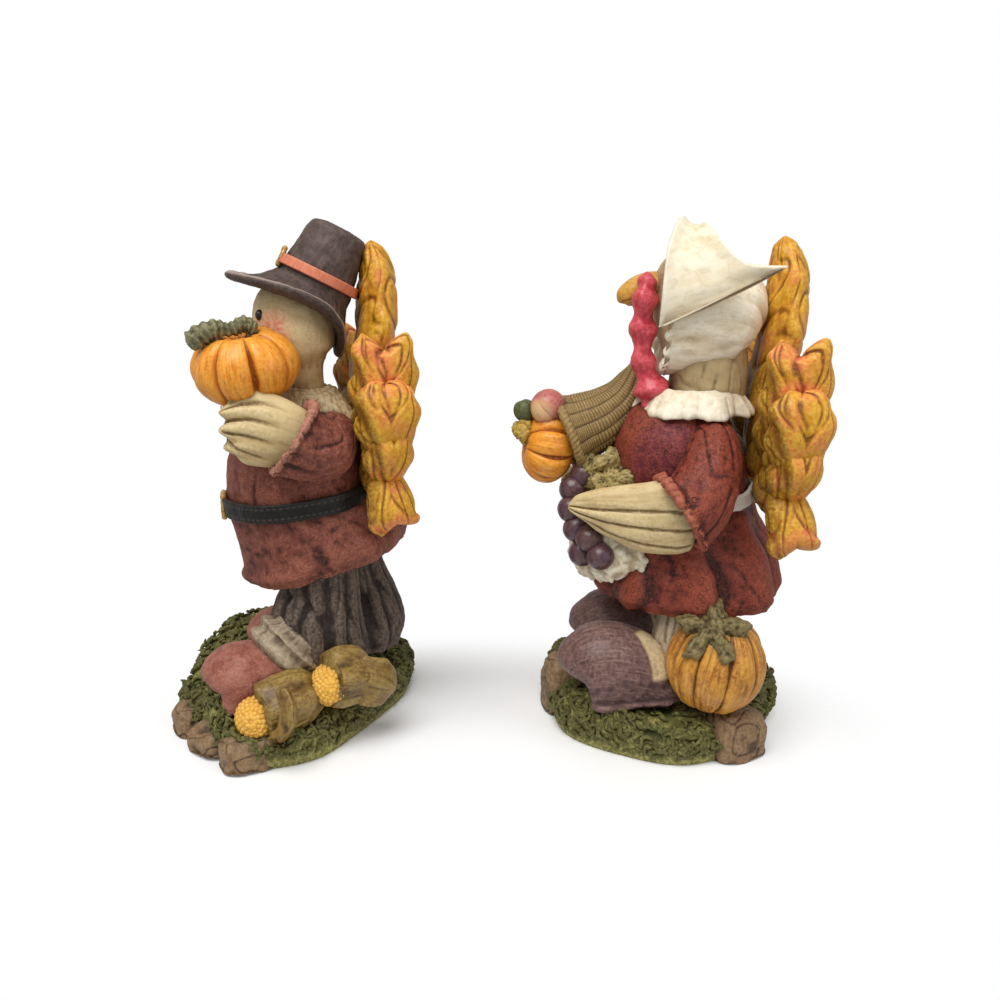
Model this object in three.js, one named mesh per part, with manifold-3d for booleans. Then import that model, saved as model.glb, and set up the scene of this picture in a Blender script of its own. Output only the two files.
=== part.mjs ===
// A pair of hand-painted cast resin harvest turkeys. The gentleman wears a tall hat and holds a pumpkin.
// The lady wears a winged bonnet and holds a horn of plenty. Each sculpted element is a solid of its own.
// Millimetres, +Z up. Both figures face -X, side by side, and the origin is under the middle of the pair.
import * as THREE from "three";
import { mergeVertices } from "three/addons/utils/BufferGeometryUtils.js";
import Module from "manifold-3d";

const wasm = await Module();
wasm.setup();

// Sizes of the pair
const GLUE_GAP = 0.3; // the seam between two elements
const SPACING = 116.3; // from the middle of one figure to the middle of the other
const MAN_TURN_SHARE = 15 / 360; // how far round the gentleman is turned

// Bases: half sizes across, height of the ground under the feet, and extra height of the bank behind.
// The outline has one share for each twelfth of the way round, from +X through +Y.
const MAN_BASE = {
  halfLength: 40.5, halfDepth: 42, rise: 12, bank: 17, tuft: 1, middleShares: [0.086, 0.07],
  outlineShares: [0.86, 1.1, 1.06, 0.98, 0.97, 0.94, 0.98, 0.92, 1.07, 0.93, 0.72, 0.7],
};
const WOMAN_BASE = {
  halfLength: 38.5, halfDepth: 39.5, rise: 12, bank: 6, tuft: 1, middleShares: [0.03, 0.06],
  outlineShares: [0.96, 1.09, 1.04, 1, 1, 1.09, 0.99, 1.03, 0.97, 1, 0.92, 0.86],
};
// The section of a mound from its foot up: outward and upward
const BASE_RINGS_SHARES = [[0.93, 0], [1, 0.4], [0.96, 0.78], [0.84, 0.98], [0.5, 1.06], [0.2, 1.06]];
// Tufts of moss on the ground: how many waves round it, and from its foot to its crown
const TUFTS = { around: 12, up: 2.5 };

// Stones: half sizes, turn, and places as shares of the base
const MAN_STONE_FRONT = { long: 7.8, broad: 8, high: 9.4, turnShare: 0.03, placeShares: [-0.81, -0.16] };
const MAN_STONE_MIDDLE = { long: 8.4, broad: 8.6, high: 8.8, turnShare: 0.1, placeShares: [-0.65, -0.5] };
const MAN_STONE_NEAR = { long: 9.4, broad: 7.4, high: 10.8, turnShare: 0.04, placeShares: [-0.43, -0.79] };
const WOMAN_STONE_FRONT = { long: 6.5, broad: 9, high: 18, turnShare: 0.02, placeShares: [-0.85, 0.03] };
const WOMAN_STONE_NEAR = { long: 9.5, broad: 7.5, high: 14.6, turnShare: 0.08, placeShares: [0.42, -0.72] };
const BLOCKY_SHARE = 0.7; // how blocky a stone is: 1 is round
const BURIED_SHARE = 0.5; // how much of a stone's lower half the ground hides

// Bodies: half sizes of the widest section, the height of the hem and the rise to the neck.
// Paths run up from the hem, as shares of the half width, the half depth and the rise.
const COAT = {
  name: "man_coat", width: 26, depth: 24.5, hem: 44, rise: 58,
  pleats: 6, pleatShare: 0.025, tiltShare: 0.055,
  pathShares: [[0.49, 0, 0.09], [0.46, 0, 0.17], [0.38, 0, 0.29], [0.22, 0, 0.43], [0.2, 0, 0.54],
    [0.23, 0, 0.66], [0.28, 0, 0.79], [0.35, 0, 0.9], [0.35, 0, 0.99]],
  wideShares: [0.92, 0.99, 0.94, 0.82, 0.82, 0.8, 0.7, 0.5, 0.24],
  deepShares: [0.92, 0.98, 0.93, 0.84, 0.86, 0.85, 0.76, 0.56, 0.24],
};
const DRESS = {
  name: "woman_dress", width: 27, depth: 27, hem: 32, rise: 69,
  pleats: 8, pleatShare: 0.05, tiltShare: -0.02,
  pathShares: [[0.25, 0, 0.115], [0.245, 0, 0.18], [0.23, 0, 0.3], [0.18, 0, 0.41], [0.15, 0, 0.53],
    [0.09, 0, 0.66], [0.06, 0, 0.8], [0.2, 0, 0.91], [0.3, 0, 0.98]],
  wideShares: [0.96, 1.02, 0.94, 0.84, 0.75, 0.73, 0.72, 0.56, 0.38],
  deepShares: [0.92, 1, 0.92, 0.8, 0.7, 0.72, 0.7, 0.52, 0.36],
};
const BELT = { thick: 1.4, fromShare: 0.42, toShare: 0.52, riseShare: 0.04 };
const SASH = { thick: 1.3, fromShare: 0.535, toShare: 0.6, riseShare: 0.03 };

// Heads: paths run up from the seat on the body, in shares of the radius
const MAN_HEAD = {
  radius: 12.4, seatShares: [0.35, 0, 1],
  pathShares: [[0, 0, -0.6], [-0.02, 0, 0.2], [-0.13, 0, 0.6], [-0.2, 0, 0.95], [-0.24, 0, 1.5],
    [-0.22, 0, 2.05], [-0.1, 0, 2.5], [-0.06, 0, 2.66]],
  wideShares: [0.42, 0.42, 0.6, 0.88, 0.98, 0.86, 0.46, 0.14],
  deepShares: [0.44, 0.44, 0.62, 0.92, 1, 0.88, 0.48, 0.14],
};
const WOMAN_HEAD = {
  radius: 13, seatShares: [0.3, 0, 1],
  pathShares: [[0.1, 0, -0.5], [0.1, 0, 0.16], [0.1, 0, 0.62], [-0.1, 0, 1.3], [-0.26, 0, 2],
    [-0.27, 0, 2.6], [-0.2, 0, 3], [-0.2, 0, 3.12]],
  wideShares: [0.84, 0.86, 0.88, 0.92, 0.96, 0.82, 0.44, 0.12],
  deepShares: [0.84, 0.86, 0.88, 0.96, 1, 0.84, 0.46, 0.12],
};
const MAN_BEAK = {
  length: 12, width: 3.7, depth: 3.9, placeShares: [-1, 0, 1.28],
  pathShares: [[0, 0, 0], [-0.35, 0, 0], [-0.66, 0, -0.08], [-0.91, 0, -0.2], [-1, 0, -0.28]],
};
const WOMAN_BEAK = {
  length: 14.3, width: 4.4, depth: 4.5, placeShares: [-0.85, 0, 2.35],
  pathShares: [[0, 0, 0], [-0.35, 0, 0], [-0.66, 0, -0.08], [-0.91, 0, -0.2], [-1, 0, -0.28]],
};
const BEAK_SHARES = [0.9, 1, 0.92, 0.6, 0.16];
// Wattles: a string of soft beads from above the beak, in shares of the length
const MAN_WATTLE = {
  length: 26, radius: 3, beads: 4, beadShare: 0.16, placeShares: [-1.16, 0.38, 1.6],
  pathShares: [[0, 0, 0], [-0.02, 0.06, -0.2], [0, 0.06, -0.5], [0.05, 0.04, -0.8], [0.08, 0.02, -1]],
  girthShares: [0.5, 0.95, 0.95, 1.15, 0.5],
};
const WOMAN_WATTLE = {
  length: 40.5, radius: 3.5, beads: 6, beadShare: 0.14, placeShares: [-1.36, -0.31, 2.69],
  pathShares: [[0, 0, 0], [-0.02, -0.04, -0.13], [-0.03, -0.02, -0.37], [-0.01, -0.01, -0.63],
    [0.06, -0.01, -0.85], [0.08, -0.01, -1]],
  girthShares: [0.5, 0.95, 1, 0.95, 1.3, 0.6],
};

// Hat: a leaning crown, and a brim that dips beside the head and hangs down behind
const HAT = {
  crownRadius: 11.1, topRadius: 8.4, crownRise: 16.4, plug: 6, rimThick: 2.4, leanShare: 27 / 360,
  reachFront: 23.6, reachSide: 20, reachBack: 14.5, dropFront: 9, dropSide: 4, dropBack: 17,
  dip: 19, placeShares: [0.31, 0, 2.51],
};
const CROWN_SHARES = [[1, 0], [1, 0.34], [0.99, 0.8], [0.9, 0.97], [0.5, 1.02]]; // outward, upward
const HAT_BAND = { thick: 0.8, fromShare: 0.02, toShare: 0.2 };
const HAT_BUCKLE = { side: 6.4, bar: 1.5, thick: 1.4, heightShare: 0.13 };
const BELT_BUCKLE = { side: 8.2, bar: 1.9, thick: 1.8 };

// Bonnet: a gathered cap, and a broad brim folded back to a peak above and a wing on either side
const CAP = {
  length: 28.5, width: 15, height: 16.4, frills: 8, frillShare: 0.03, placeShares: [-0.02, 0, 1.64],
  pathShares: [[-0.5, 0, 0], [-0.42, 0, 0.01], [0, 0, 0.02], [0.34, 0, -0.04], [0.48, 0, -0.1],
    [0.53, 0, -0.13]],
  wideShares: [0.92, 0.96, 1, 0.86, 0.5, 0.14], deepShares: [0.94, 0.97, 1, 0.88, 0.54, 0.14],
};
const BRIM = {
  length: 31, half: 19, rise: 30, thick: 1.9, turnShare: -0.028, placeShares: [-0.8, 0, 1.6], curl: 9.6,
  frontShares: [[-0.19, -0.86, -0.02], [-0.18, -0.94, 0.3], [-0.13, -0.8, 0.62], [-0.02, -0.4, 0.88],
    [0.06, 0, 0.98]],
  backShares: [[0.96, -1.06, 0.54], [0.64, -0.98, 0.57], [0.44, -0.7, 0.74], [0.34, -0.34, 0.86],
    [0.28, 0, 0.92]],
};

// Collars: a sheet that falls from the neck over the shoulders
const MAN_COLLAR = {
  inner: 5.8, outer: 13.4, lift: 2, fall: 8, thick: 1.8, points: 4, pointShare: 0.36,
  placeShares: [0.35, 0, 0.975],
};
const WOMAN_COLLAR = {
  inner: 11, outer: 16.6, lift: 3, fall: 3.8, thick: 2, points: 7, pointShare: 0.07,
  placeShares: [0.19, 0, 0.985],
};

// Arms, in shares of the body, for the -Y side; the other arm mirrors it
const MAN_SLEEVE = {
  width: 10.4, depth: 10, ruffles: 6, ruffleShare: 0.05,
  pathShares: [[0.62, -0.34, 0.84], [0.52, -0.66, 0.8], [0.4, -0.86, 0.77], [0.22, -0.94, 0.8],
    [0.1, -0.94, 0.835]],
  wideShares: [0.5, 0.8, 0.95, 1.02, 1.14], deepShares: [0.5, 0.8, 0.96, 1.04, 1.16],
};
const WOMAN_SLEEVE = {
  width: 10, depth: 10, ruffles: 6, ruffleShare: 0.05,
  pathShares: [[0.34, -0.28, 0.86], [0.32, -0.56, 0.81], [0.24, -0.78, 0.71], [0.08, -0.9, 0.61],
    [-0.06, -0.92, 0.575]],
  wideShares: [0.6, 0.8, 0.9, 1, 1.14], deepShares: [0.6, 0.8, 0.92, 1.04, 1.2],
};
// Wings: the fingers are feathers that end in steps, from the top one down
const MAN_WING = {
  width: 5, depth: 10, fingers: 4, fingerShare: 0.12, stepShare: 0.06, notchShare: 0.24,
  pathShares: [[0.4, -0.9, 0.78], [0.1, -0.9, 0.83], [-0.2, -0.88, 0.875], [-0.46, -0.84, 0.9],
    [-0.64, -0.8, 0.9]],
  wideShares: [0.7, 1, 1, 0.84, 0.5], deepShares: [0.6, 0.9, 1, 0.86, 0.6],
};
const WOMAN_WING = {
  width: 4.8, depth: 11, fingers: 4, fingerShare: 0.08, stepShare: -0.4, notchShare: 0.08,
  pathShares: [[0.14, -0.9, 0.56], [-0.08, -0.9, 0.56], [-0.42, -0.86, 0.555], [-0.8, -0.74, 0.56],
    [-1.17, -0.6, 0.575]],
  wideShares: [0.8, 1, 0.96, 0.8, 0.4], deepShares: [0.84, 0.98, 0.9, 0.66, 0.24],
};

// Legs, in shares of the body and of the way up from the ground to the hem
const BREECHES = {
  width: 13.4, depth: 12.6, pleats: 7, pleatShare: 0.07,
  legsShares: [
    [[0.34, -0.3, 1.3], [0.34, -0.32, 0.96], [0.3, -0.36, 0.66], [0.32, -0.36, 0.36], [0.4, -0.36, 0.2]],
    [[0.66, 0.3, 1.3], [0.72, 0.32, 0.96], [0.8, 0.33, 0.66], [0.88, 0.34, 0.36], [0.9, 0.34, 0.12]],
  ],
  girthShares: [0.84, 0.88, 1, 1.04, 0.84],
};
const GAITER = {
  width: 12.2, depth: 11.6, folds: 3, foldShare: 0.07,
  legsShares: [
    [[0.16, -0.5, 0.6], [0.04, -0.51, 0.5], [-0.08, -0.53, 0.4], [-0.14, -0.53, 0.34]],
    [[0.7, 0.42, 0.54], [0.6, 0.43, 0.44], [0.48, 0.44, 0.34], [0.42, 0.44, 0.28]],
  ],
  girthShares: [0.8, 1, 1, 0.84],
};
const STOCKINGS = {
  width: 7.4, depth: 7.4,
  legsShares: [
    [[0.12, -0.5, 1.5], [0.06, -0.5, 0.9], [-0.02, -0.5, 0.45]],
    [[0.12, 0.5, 1.5], [0.06, 0.5, 0.9], [-0.02, 0.5, 0.45]],
  ],
  girthShares: [0.9, 1, 1],
};
// Shoes: a big round toe that narrows to the heel, in shares of the length and of the half height
const MAN_SHOE = {
  length: 29, width: 12, height: 9.6, sinkShare: 0.06, placesShares: [[-0.31, -0.64], [0.2, 0.5]],
};
const WOMAN_SHOE = {
  length: 29.5, width: 12.2, height: 13.2, sinkShare: 0.2, placesShares: [[-0.48, -0.58], [-0.28, 0.5]],
};
const LAST = { // the shape of every shoe, from the heel to the toe
  pathShares: [[0.5, 0, 0.4], [0.4, 0, 0.56], [0.14, 0, 0.86], [-0.14, 0, 1], [-0.36, 0, 0.98],
    [-0.47, 0, 0.9], [-0.5, 0, 0.8]],
  wideShares: [0.3, 0.62, 0.84, 1, 1, 0.8, 0.44],
  deepShares: [0.3, 0.54, 0.84, 1, 0.98, 0.76, 0.4],
  soleShare: 0.2, // the underside is cut off flat at this share of the height
};

// Tail: fat feathers that fan out from a root behind the body, in shares of their reach.
// The tall one stands in the middle; the others come in pairs, each with a notched tip.
const TAIL = {
  tallWidth: 13, tallDepth: 5.7,
  tallShares: [[0.01, 0, -0.11], [0.01, 0, 0.11], [0.03, 0, 0.37], [0.07, 0, 0.6], [0.08, 0, 0.78],
    [0.055, 0, 0.93], [0.05, 0, 0.965]],
  tallWideShares: [0.5, 0.7, 0.92, 1, 0.8, 0.36, 0.1],
  tallDeepShares: [0.8, 0.9, 1, 1.04, 1, 0.6, 0.2],
};
// The paired feathers, from the uppermost down: each comes out sideways and curls up, the lowest down
const CREST_FEATHER = {
  width: 8.8, depth: 6.4, notchShare: 0.7,
  pathShares: [[0.03, 0.07, 0.05], [0.04, 0.21, 0.14], [0.05, 0.32, 0.29], [0.05, 0.36, 0.42],
    [0.05, 0.37, 0.5]],
  wideShares: [0.6, 0.9, 1.05, 0.98, 0.7], deepShares: [0.8, 1, 1, 0.86, 0.5],
};
const BROAD_FEATHER = {
  width: 8.2, depth: 6.6, notchShare: 0.2,
  pathShares: [[0.04, 0.12, 0], [0.05, 0.3, 0.04], [0.05, 0.43, 0.17], [0.04, 0.46, 0.28],
    [0.04, 0.46, 0.36]],
  wideShares: [0.5, 0.8, 1.06, 1, 0.5], deepShares: [0.7, 1, 1.05, 0.86, 0.4],
};
const SHORT_FEATHER = {
  width: 6.6, depth: 6.4, notchShare: 0.2,
  pathShares: [[0.03, 0.1, -0.05], [0.04, 0.26, -0.06], [0.05, 0.39, 0], [0.06, 0.44, 0.08],
    [0.06, 0.44, 0.15]],
  wideShares: [0.6, 0.9, 1, 0.94, 0.5], deepShares: [0.7, 1, 1, 0.9, 0.4],
};
const LOW_FEATHER = {
  width: 7, depth: 6.4, notchShare: 0.5,
  pathShares: [[0.02, 0.06, -0.1], [0.03, 0.2, -0.12], [0.05, 0.34, -0.16], [0.06, 0.39, -0.25],
    [0.08, 0.39, -0.31]],
  wideShares: [0.6, 0.82, 0.84, 1.06, 0.8], deepShares: [0.7, 1, 1, 0.9, 0.5],
};
// The place of each root is a share of the body
const MAN_TAIL = { reach: 61.4, placeShares: [0.98, 0, 0.71] };
const WOMAN_TAIL = { reach: 65.4, placeShares: [0.94, 0, 0.73] };

// Harvest goods. Pumpkins lean along a direction; places are shares of the body
const MAN_PUMPKIN = {
  radius: 15, height: 11, rings: 8, lobes: 8, lobeShare: 0.14, leanShares: [-0.14, -0.16, 1],
  placeShares: [-0.32, -0.46, 1.155],
};
const VINE = {
  length: 22, radius: 2.8, knots: 3, knotShare: 0.12,
  pathShares: [[0.25, 0.02, -0.04], [0.08, 0, 0.02], [-0.12, -0.04, -0.03], [-0.36, -0.1, -0.04],
    [-0.58, -0.16, -0.22]],
  girthShares: [0.8, 0.86, 0.74, 1.1, 1],
};
const SIDE_PUMPKIN = {
  radius: 14, height: 15, rings: 8, lobes: 9, lobeShare: 0.09, leanShares: [0.12, -0.05, 1],
  placeShares: [0.4, -0.92, 0.78],
};
const SIDE_LEAF = { // its place is in shares of the pumpkin's radius and half height
  radius: 8.8, thick: 2.8, lobes: 5, lobeShare: 0.2, droop: 4.6, leanShares: [-0.3, -0.9, 1],
  placeShares: [-0.26, -0.56, 0.94],
};
const HORN = {
  width: 11.8, ribs: 8, ribShare: 0.05,
  pathShares: [[-1.16, 0.06, 0.83], [-1, 0.08, 0.855], [-0.74, 0.12, 0.9], [-0.52, 0.2, 0.965],
    [-0.38, 0.34, 1.05], [-0.33, 0.48, 1.13]],
  girthShares: [1, 0.86, 0.74, 0.6, 0.42, 0.14],
};
const HORN_RIM = { radius: 1.4, strands: 18 };
const HORN_PUMPKIN = {
  radius: 11.4, height: 8.4, rings: 7, lobes: 8, lobeShare: 0.11, leanShares: [-1, -0.1, 0.16],
  placeShares: [-1.36, 0.04, 0.78],
};
const APPLE = {
  radius: 5.4, height: 5, rings: 5, lobes: 5, lobeShare: 0.04, leanShares: [-0.7, -0.1, 0.7],
  placeShares: [-1.38, -0.1, 0.955],
};
const GOURD = {
  radius: 3.3, height: 3.4, rings: 5, lobes: 5, lobeShare: 0.04, leanShares: [-0.4, 0.1, 1],
  placeShares: [-1.62, -0.04, 0.935],
};
const RAISINS = {
  radius: 2.5,
  placesShares: [[-1.6, -0.06, 0.875], [-1.64, -0.12, 0.845], [-1.66, 0, 0.85], [-1.6, -0.06, 0.82]],
};
const GRAPES = {
  radius: 4,
  placesShares: [[-0.94, -0.54, 0.43], [-0.82, -0.62, 0.36], [-1, -0.42, 0.35], [-1.06, -0.36, 0.45],
    [-1.12, -0.3, 0.53], [-1.1, -0.22, 0.61], [-0.98, -0.2, 0.67]],
};
const GRAPE_LEAF = {
  radius: 9.6, thick: 2.6, lobes: 5, lobeShare: 0.22, droop: 3, leanShares: [-0.3, -0.7, 0.6],
  placeShares: [-0.72, -0.42, 0.665],
};
const LACE = {
  width: 15, depth: 19, scallops: 6, scallopShare: 0.08,
  pathShares: [[-0.36, 0, 0.56], [-0.46, 0, 0.47], [-0.54, 0, 0.37], [-0.52, 0, 0.29], [-0.48, 0, 0.24]],
  girthShares: [0.6, 0.86, 1, 0.98, 0.8],
};
const FRONT_CORN = {
  radius: 6.5, length: 15, placeShares: [-0.49, -1.34, 0.08], aimShares: [-0.3, -0.92, 0.22],
};
const NEAR_CORN = {
  radius: 6.2, length: 14, placeShares: [0.36, -1.28, 0.3], aimShares: [-0.12, -0.92, 0.32],
};
// Husks: a sheath behind the ear, and a leaf that lies beside it
const FRONT_HUSK = {
  width: 8.6, depth: 9.4,
  pathShares: [[-0.44, -1.2, 0.1], [-0.2, -1.12, 0.13], [0.06, -1.02, 0.16], [0.3, -0.92, 0.18]],
};
const FRONT_HUSK_LEAF = {
  width: 8.4, depth: 3.4,
  pathShares: [[-0.2, -1.2, 0.3], [-0.16, -1.36, 0.12], [-0.16, -1.46, -0.06], [-0.2, -1.5, -0.2]],
};
const NEAR_HUSK = {
  width: 8.6, depth: 9.2,
  pathShares: [[0.3, -1.12, 0.32], [0.46, -1.04, 0.3], [0.66, -0.94, 0.28], [0.84, -0.8, 0.24]],
};
const NEAR_HUSK_LEAF = {
  width: 7.6, depth: 5.4,
  pathShares: [[0.6, -1.02, 0.36], [0.8, -1.06, 0.24], [0.96, -1, 0.12], [1.04, -0.92, 0.02]],
};
const COB = { alongShares: [0.1, 0, -0.3, -0.65, -1], girthShares: [0.3, 0.74, 1, 1, 0.6] };
const HUSK = {
  folds: 5, foldShare: 0.07, girthShares: [0.92, 1, 0.9, 0.5], leafShares: [0.7, 1, 0.8, 0.14],
};

// Finishes: colour, roughness and metalness
const PAINT = {
  moss: ["#4c5230", 0.9, 0],
  stone: ["#6b5640", 0.9, 0],
  felt: ["#55463f", 0.8, 0],
  ribbon: ["#c0684a", 0.7, 0],
  gilt: ["#b98d3c", 0.45, 0.3],
  coat: ["#864a3e", 0.8, 0],
  belt: ["#2d2928", 0.6, 0],
  breeches: ["#54473f", 0.85, 0],
  gaiter: ["#8b7d69", 0.85, 0],
  shoe: ["#7c4a44", 0.8, 0],
  plumage: ["#c9b88a", 0.75, 0],
  wing: ["#c8b581", 0.75, 0],
  pumpkin: ["#e8901f", 0.6, 0],
  vine: ["#6b6c4a", 0.85, 0],
  feather: ["#d39a20", 0.55, 0],
  corn: ["#d99c34", 0.6, 0],
  husk: ["#75592a", 0.75, 0],
  beak: ["#c78a32", 0.6, 0],
  wattle: ["#c23f4a", 0.55, 0],
  linen: ["#e8dcc4", 0.8, 0],
  dress: ["#843a2e", 0.8, 0],
  sash: ["#e2ddd0", 0.8, 0],
  stocking: ["#b5a58c", 0.85, 0],
  clog: ["#6d4f4e", 0.75, 0],
  face: ["#8f7656", 0.75, 0],
  horn: ["#80683f", 0.85, 0],
  apple: ["#b06a55", 0.5, 0],
  gourd: ["#4b5033", 0.7, 0],
  raisin: ["#a98c3a", 0.8, 0],
  grape: ["#5a4150", 0.5, 0],
  leaf: ["#736947", 0.85, 0],
};

// How finely each shape is cut into facets: around it, and along it
const FACETS = {
  ground: { around: 40, along: 8 },
  stone: { around: 10, along: 5 },
  body: { around: 3, along: 9 }, // around: for each pleat
  head: { around: 12, along: 7 },
  beak: { around: 8, along: 4 },
  wattle: { around: 6, along: 2 }, // along: for each bead
  crown: { around: 16 },
  brim: { around: 18, along: 3 },
  cap: { around: 2, along: 5 }, // around: for each frill
  bonnet: { around: 12, along: 3 },
  collar: { around: 3, along: 1 }, // around: for each point
  sleeve: { around: 2, along: 4 }, // around: for each ruffle
  wing: { around: 6, along: 4 }, // around: for each finger
  leg: { around: 10, along: 4 },
  shoe: { around: 12, along: 6 },
  feather: { around: 7, along: 4 },
  tall: { around: 9, along: 5 },
  vine: { around: 6, along: 3 }, // along: for each knot
  leaf: { around: 3, along: 1 }, // around: for each lobe
  horn: { around: 2, along: 6 }, // around: for each rib
  rim: { around: 4 },
  berry: { around: 7, along: 4 },
  fruit: { around: 2 }, // around: for each lobe
  lace: { around: 2, along: 4 }, // around: for each scallop
  cob: { around: 9, along: 4 },
  husk: { around: 2, along: 4 }, // around: for each fold
};

// Directions and plain shares that every shape uses
const X_WAY = new THREE.Vector3(1, 0, 0);
const Y_WAY = new THREE.Vector3(0, 1, 0);
const Z_WAY = new THREE.Vector3(0, 0, 1);
const TURN = Math.PI * 2;
const HALF_SHARE = 0.5;
const STEP_SHARE = 1e-3; // a small step along a surface, to find its slope
const HALVINGS = 20; // how often the search for a height halves its range
const DIMPLE = { depth: 3, spread: 8 }; // at the ends of a fruit: in groove depths, and how tight
const LEFT = { side: "left", sign: 1, leg: 0 };
const RIGHT = { side: "right", sign: -1, leg: 1 };
const { lerp, clamp, smoothstep } = THREE.MathUtils;

const vec = (x, y, z) => new THREE.Vector3(x, y, z);
const scaled = (shares, size) => shares.map((share) => share * size);

// A place on a body, from shares of its half width, its half depth and its rise above the hem
function onBody(body, [x, y, z]) {
  return vec(body.width * x, body.depth * y, body.hem + body.rise * z);
}

// A place under the hem, with its height as a share of the way from the ground to the hem
function underHem(body, base, [x, y, z]) {
  return vec(body.width * x, body.depth * y, lerp(base.rise, body.hem, z));
}

// A place on a head, in shares of its radius from its seat
function onHead(body, head, [x, y, z]) {
  return onBody(body, head.seatShares).add(vec(x, y, z).multiplyScalar(head.radius));
}

// A place on a base, from shares of its half sizes, on the surface that it stands on
function onBase(base, [x, y]) {
  const [middleX, middleY] = base.middleShares;
  return vec(base.halfLength * (middleX + x), base.halfDepth * (middleY + y), 0);
}

// The signed volume of a closed geometry: below zero when its faces point in
function signedVolume(geometry) {
  const spots = geometry.getAttribute("position");
  const corner = [vec(), vec(), vec()];
  let sum = 0;
  for (let i = 0; i < geometry.index.count; i += 3) {
    corner.forEach((at, n) => at.fromBufferAttribute(spots, geometry.index.getX(i + n)));
    sum += corner[0].dot(corner[1].cross(corner[2]));
  }
  return sum;
}

// The geometry with its faces pointing out
function facingOut(geometry) {
  if (signedVolume(geometry) >= 0) return geometry;
  const order = geometry.index;
  for (let i = 0; i < order.count; i += 3) {
    const first = order.getX(i);
    order.setX(i, order.getX(i + 1));
    order.setX(i + 1, first);
  }
  return geometry;
}

// A closed geometry with shared corners, each moved to place(x, y, z)
function reshaped(geometry, place) {
  geometry.deleteAttribute("normal");
  geometry.deleteAttribute("uv");
  const shape = mergeVertices(geometry);
  const spots = shape.getAttribute("position");
  for (let i = 0; i < spots.count; i += 1) {
    const moved = place(spots.getX(i), spots.getY(i), spots.getZ(i));
    spots.setXYZ(i, moved.x, moved.y, moved.z);
  }
  return facingOut(shape);
}

// A solid lofted along a smooth path. The half widths lie along the broad direction and the half depths
// across it. ripple(angle, t) swells the outline, and notch pushes the edges ahead of the middle.
function loft({ path, wides, deeps, broad, around, along, ripple = () => 1, notch = 0 }) {
  const middle = new THREE.CatmullRomCurve3(path);
  const girth = new THREE.SplineCurve(wides.map((wide, i) => new THREE.Vector2(wide, deeps[i])));
  return reshaped(new THREE.CylinderGeometry(1, 1, 1, around, along), (x, y, z) => {
    const t = y + HALF_SHARE;
    const ahead = middle.getTangent(t);
    const side = broad.clone().addScaledVector(ahead, -broad.dot(ahead)).normalize();
    const over = side.clone().cross(ahead);
    const half = girth.getPoint(t);
    const swell = ripple(Math.atan2(z, x), t);
    return middle.getPoint(t)
      .addScaledVector(side, x * half.x * swell)
      .addScaledVector(over, z * half.y * swell)
      .addScaledVector(ahead, x * x * t * notch);
  });
}

// A sheet of even thickness whose middle is surface(u, v), for u and v from 0 to 1
function sheet(surface, thick, across, down) {
  return reshaped(new THREE.BoxGeometry(1, 1, 1, across, 1, down), (x, y, z) => {
    const u = x + HALF_SHARE;
    const v = z + HALF_SHARE;
    const along = surface(u + STEP_SHARE, v).sub(surface(u - STEP_SHARE, v));
    const up = surface(u, v + STEP_SHARE).sub(surface(u, v - STEP_SHARE));
    return surface(u, v).addScaledVector(up.cross(along).normalize(), y * thick);
  });
}

// A ring of even thickness whose middle is surface(angle, s), for s from 0 inside to 1 outside
function ringSheet(surface, thick, around, steps) {
  const shares = Array.from({ length: steps + 1 }, (_, i) => i / steps);
  const top = shares.map((s) => new THREE.Vector2(1 + s, 1));
  const bottom = shares.map((s) => new THREE.Vector2(1 + s, -1)).reverse();
  const profile = [...top, ...bottom, top[0].clone()];
  return reshaped(new THREE.LatheGeometry(profile, around), (x, y, z) => {
    const s = Math.hypot(x, z) - 1;
    const angle = Math.atan2(z, x);
    const round = surface(angle + STEP_SHARE, s).sub(surface(angle - STEP_SHARE, s));
    const out = surface(angle, s + STEP_SHARE).sub(surface(angle, s - STEP_SHARE));
    return surface(angle, s).addScaledVector(out.cross(round).normalize(), y * thick * HALF_SHARE);
  });
}

// A lobed fruit with a dimple at either end, leaning along a direction
function fruit({ radius, height, lobes, lobeShare, leanShares, rings }, middle) {
  const lean = new THREE.Quaternion().setFromUnitVectors(Y_WAY, vec(...leanShares).normalize());
  return reshaped(new THREE.SphereGeometry(1, lobes * FACETS.fruit.around, rings), (x, y, z) => {
    const flat = Math.hypot(x, z);
    const groove = 1 - Math.abs(Math.sin(Math.atan2(z, x) * lobes * HALF_SHARE));
    const swell = radius * (1 - lobeShare * groove * groove);
    const dimple = 1 - lobeShare * DIMPLE.depth * Math.exp(-flat * flat * DIMPLE.spread);
    return vec(x * swell, y * height * dimple, z * swell).applyQuaternion(lean).add(middle);
  });
}

// The same shape with every face moved out by the seam: it cuts this element's seat in its neighbours
function grown(geometry) {
  const shape = geometry.clone();
  const spots = shape.getAttribute("position");
  const at = (n) => vec().fromBufferAttribute(spots, n);
  const outs = Array.from({ length: spots.count }, () => ({ way: vec(), faces: [] }));
  for (let i = 0; i < shape.index.count; i += 3) {
    const [a, b, c] = [0, 1, 2].map((n) => shape.index.getX(i + n));
    const face = at(b).sub(at(a)).cross(at(c).sub(at(a))).normalize();
    for (const [corner, next, last] of [[a, b, c], [b, c, a], [c, a, b]]) {
      const angle = at(next).sub(at(corner)).angleTo(at(last).sub(at(corner)));
      outs[corner].way.addScaledVector(face, angle);
      outs[corner].faces.push(face);
    }
  }
  outs.forEach(({ way, faces }, n) => {
    way.normalize();
    const lean = Math.min(...faces.map((face) => face.dot(way)));
    const moved = at(n).addScaledVector(way, GLUE_GAP / Math.max(lean, HALF_SHARE));
    spots.setXYZ(n, moved.x, moved.y, moved.z);
  });
  return shape;
}

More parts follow.
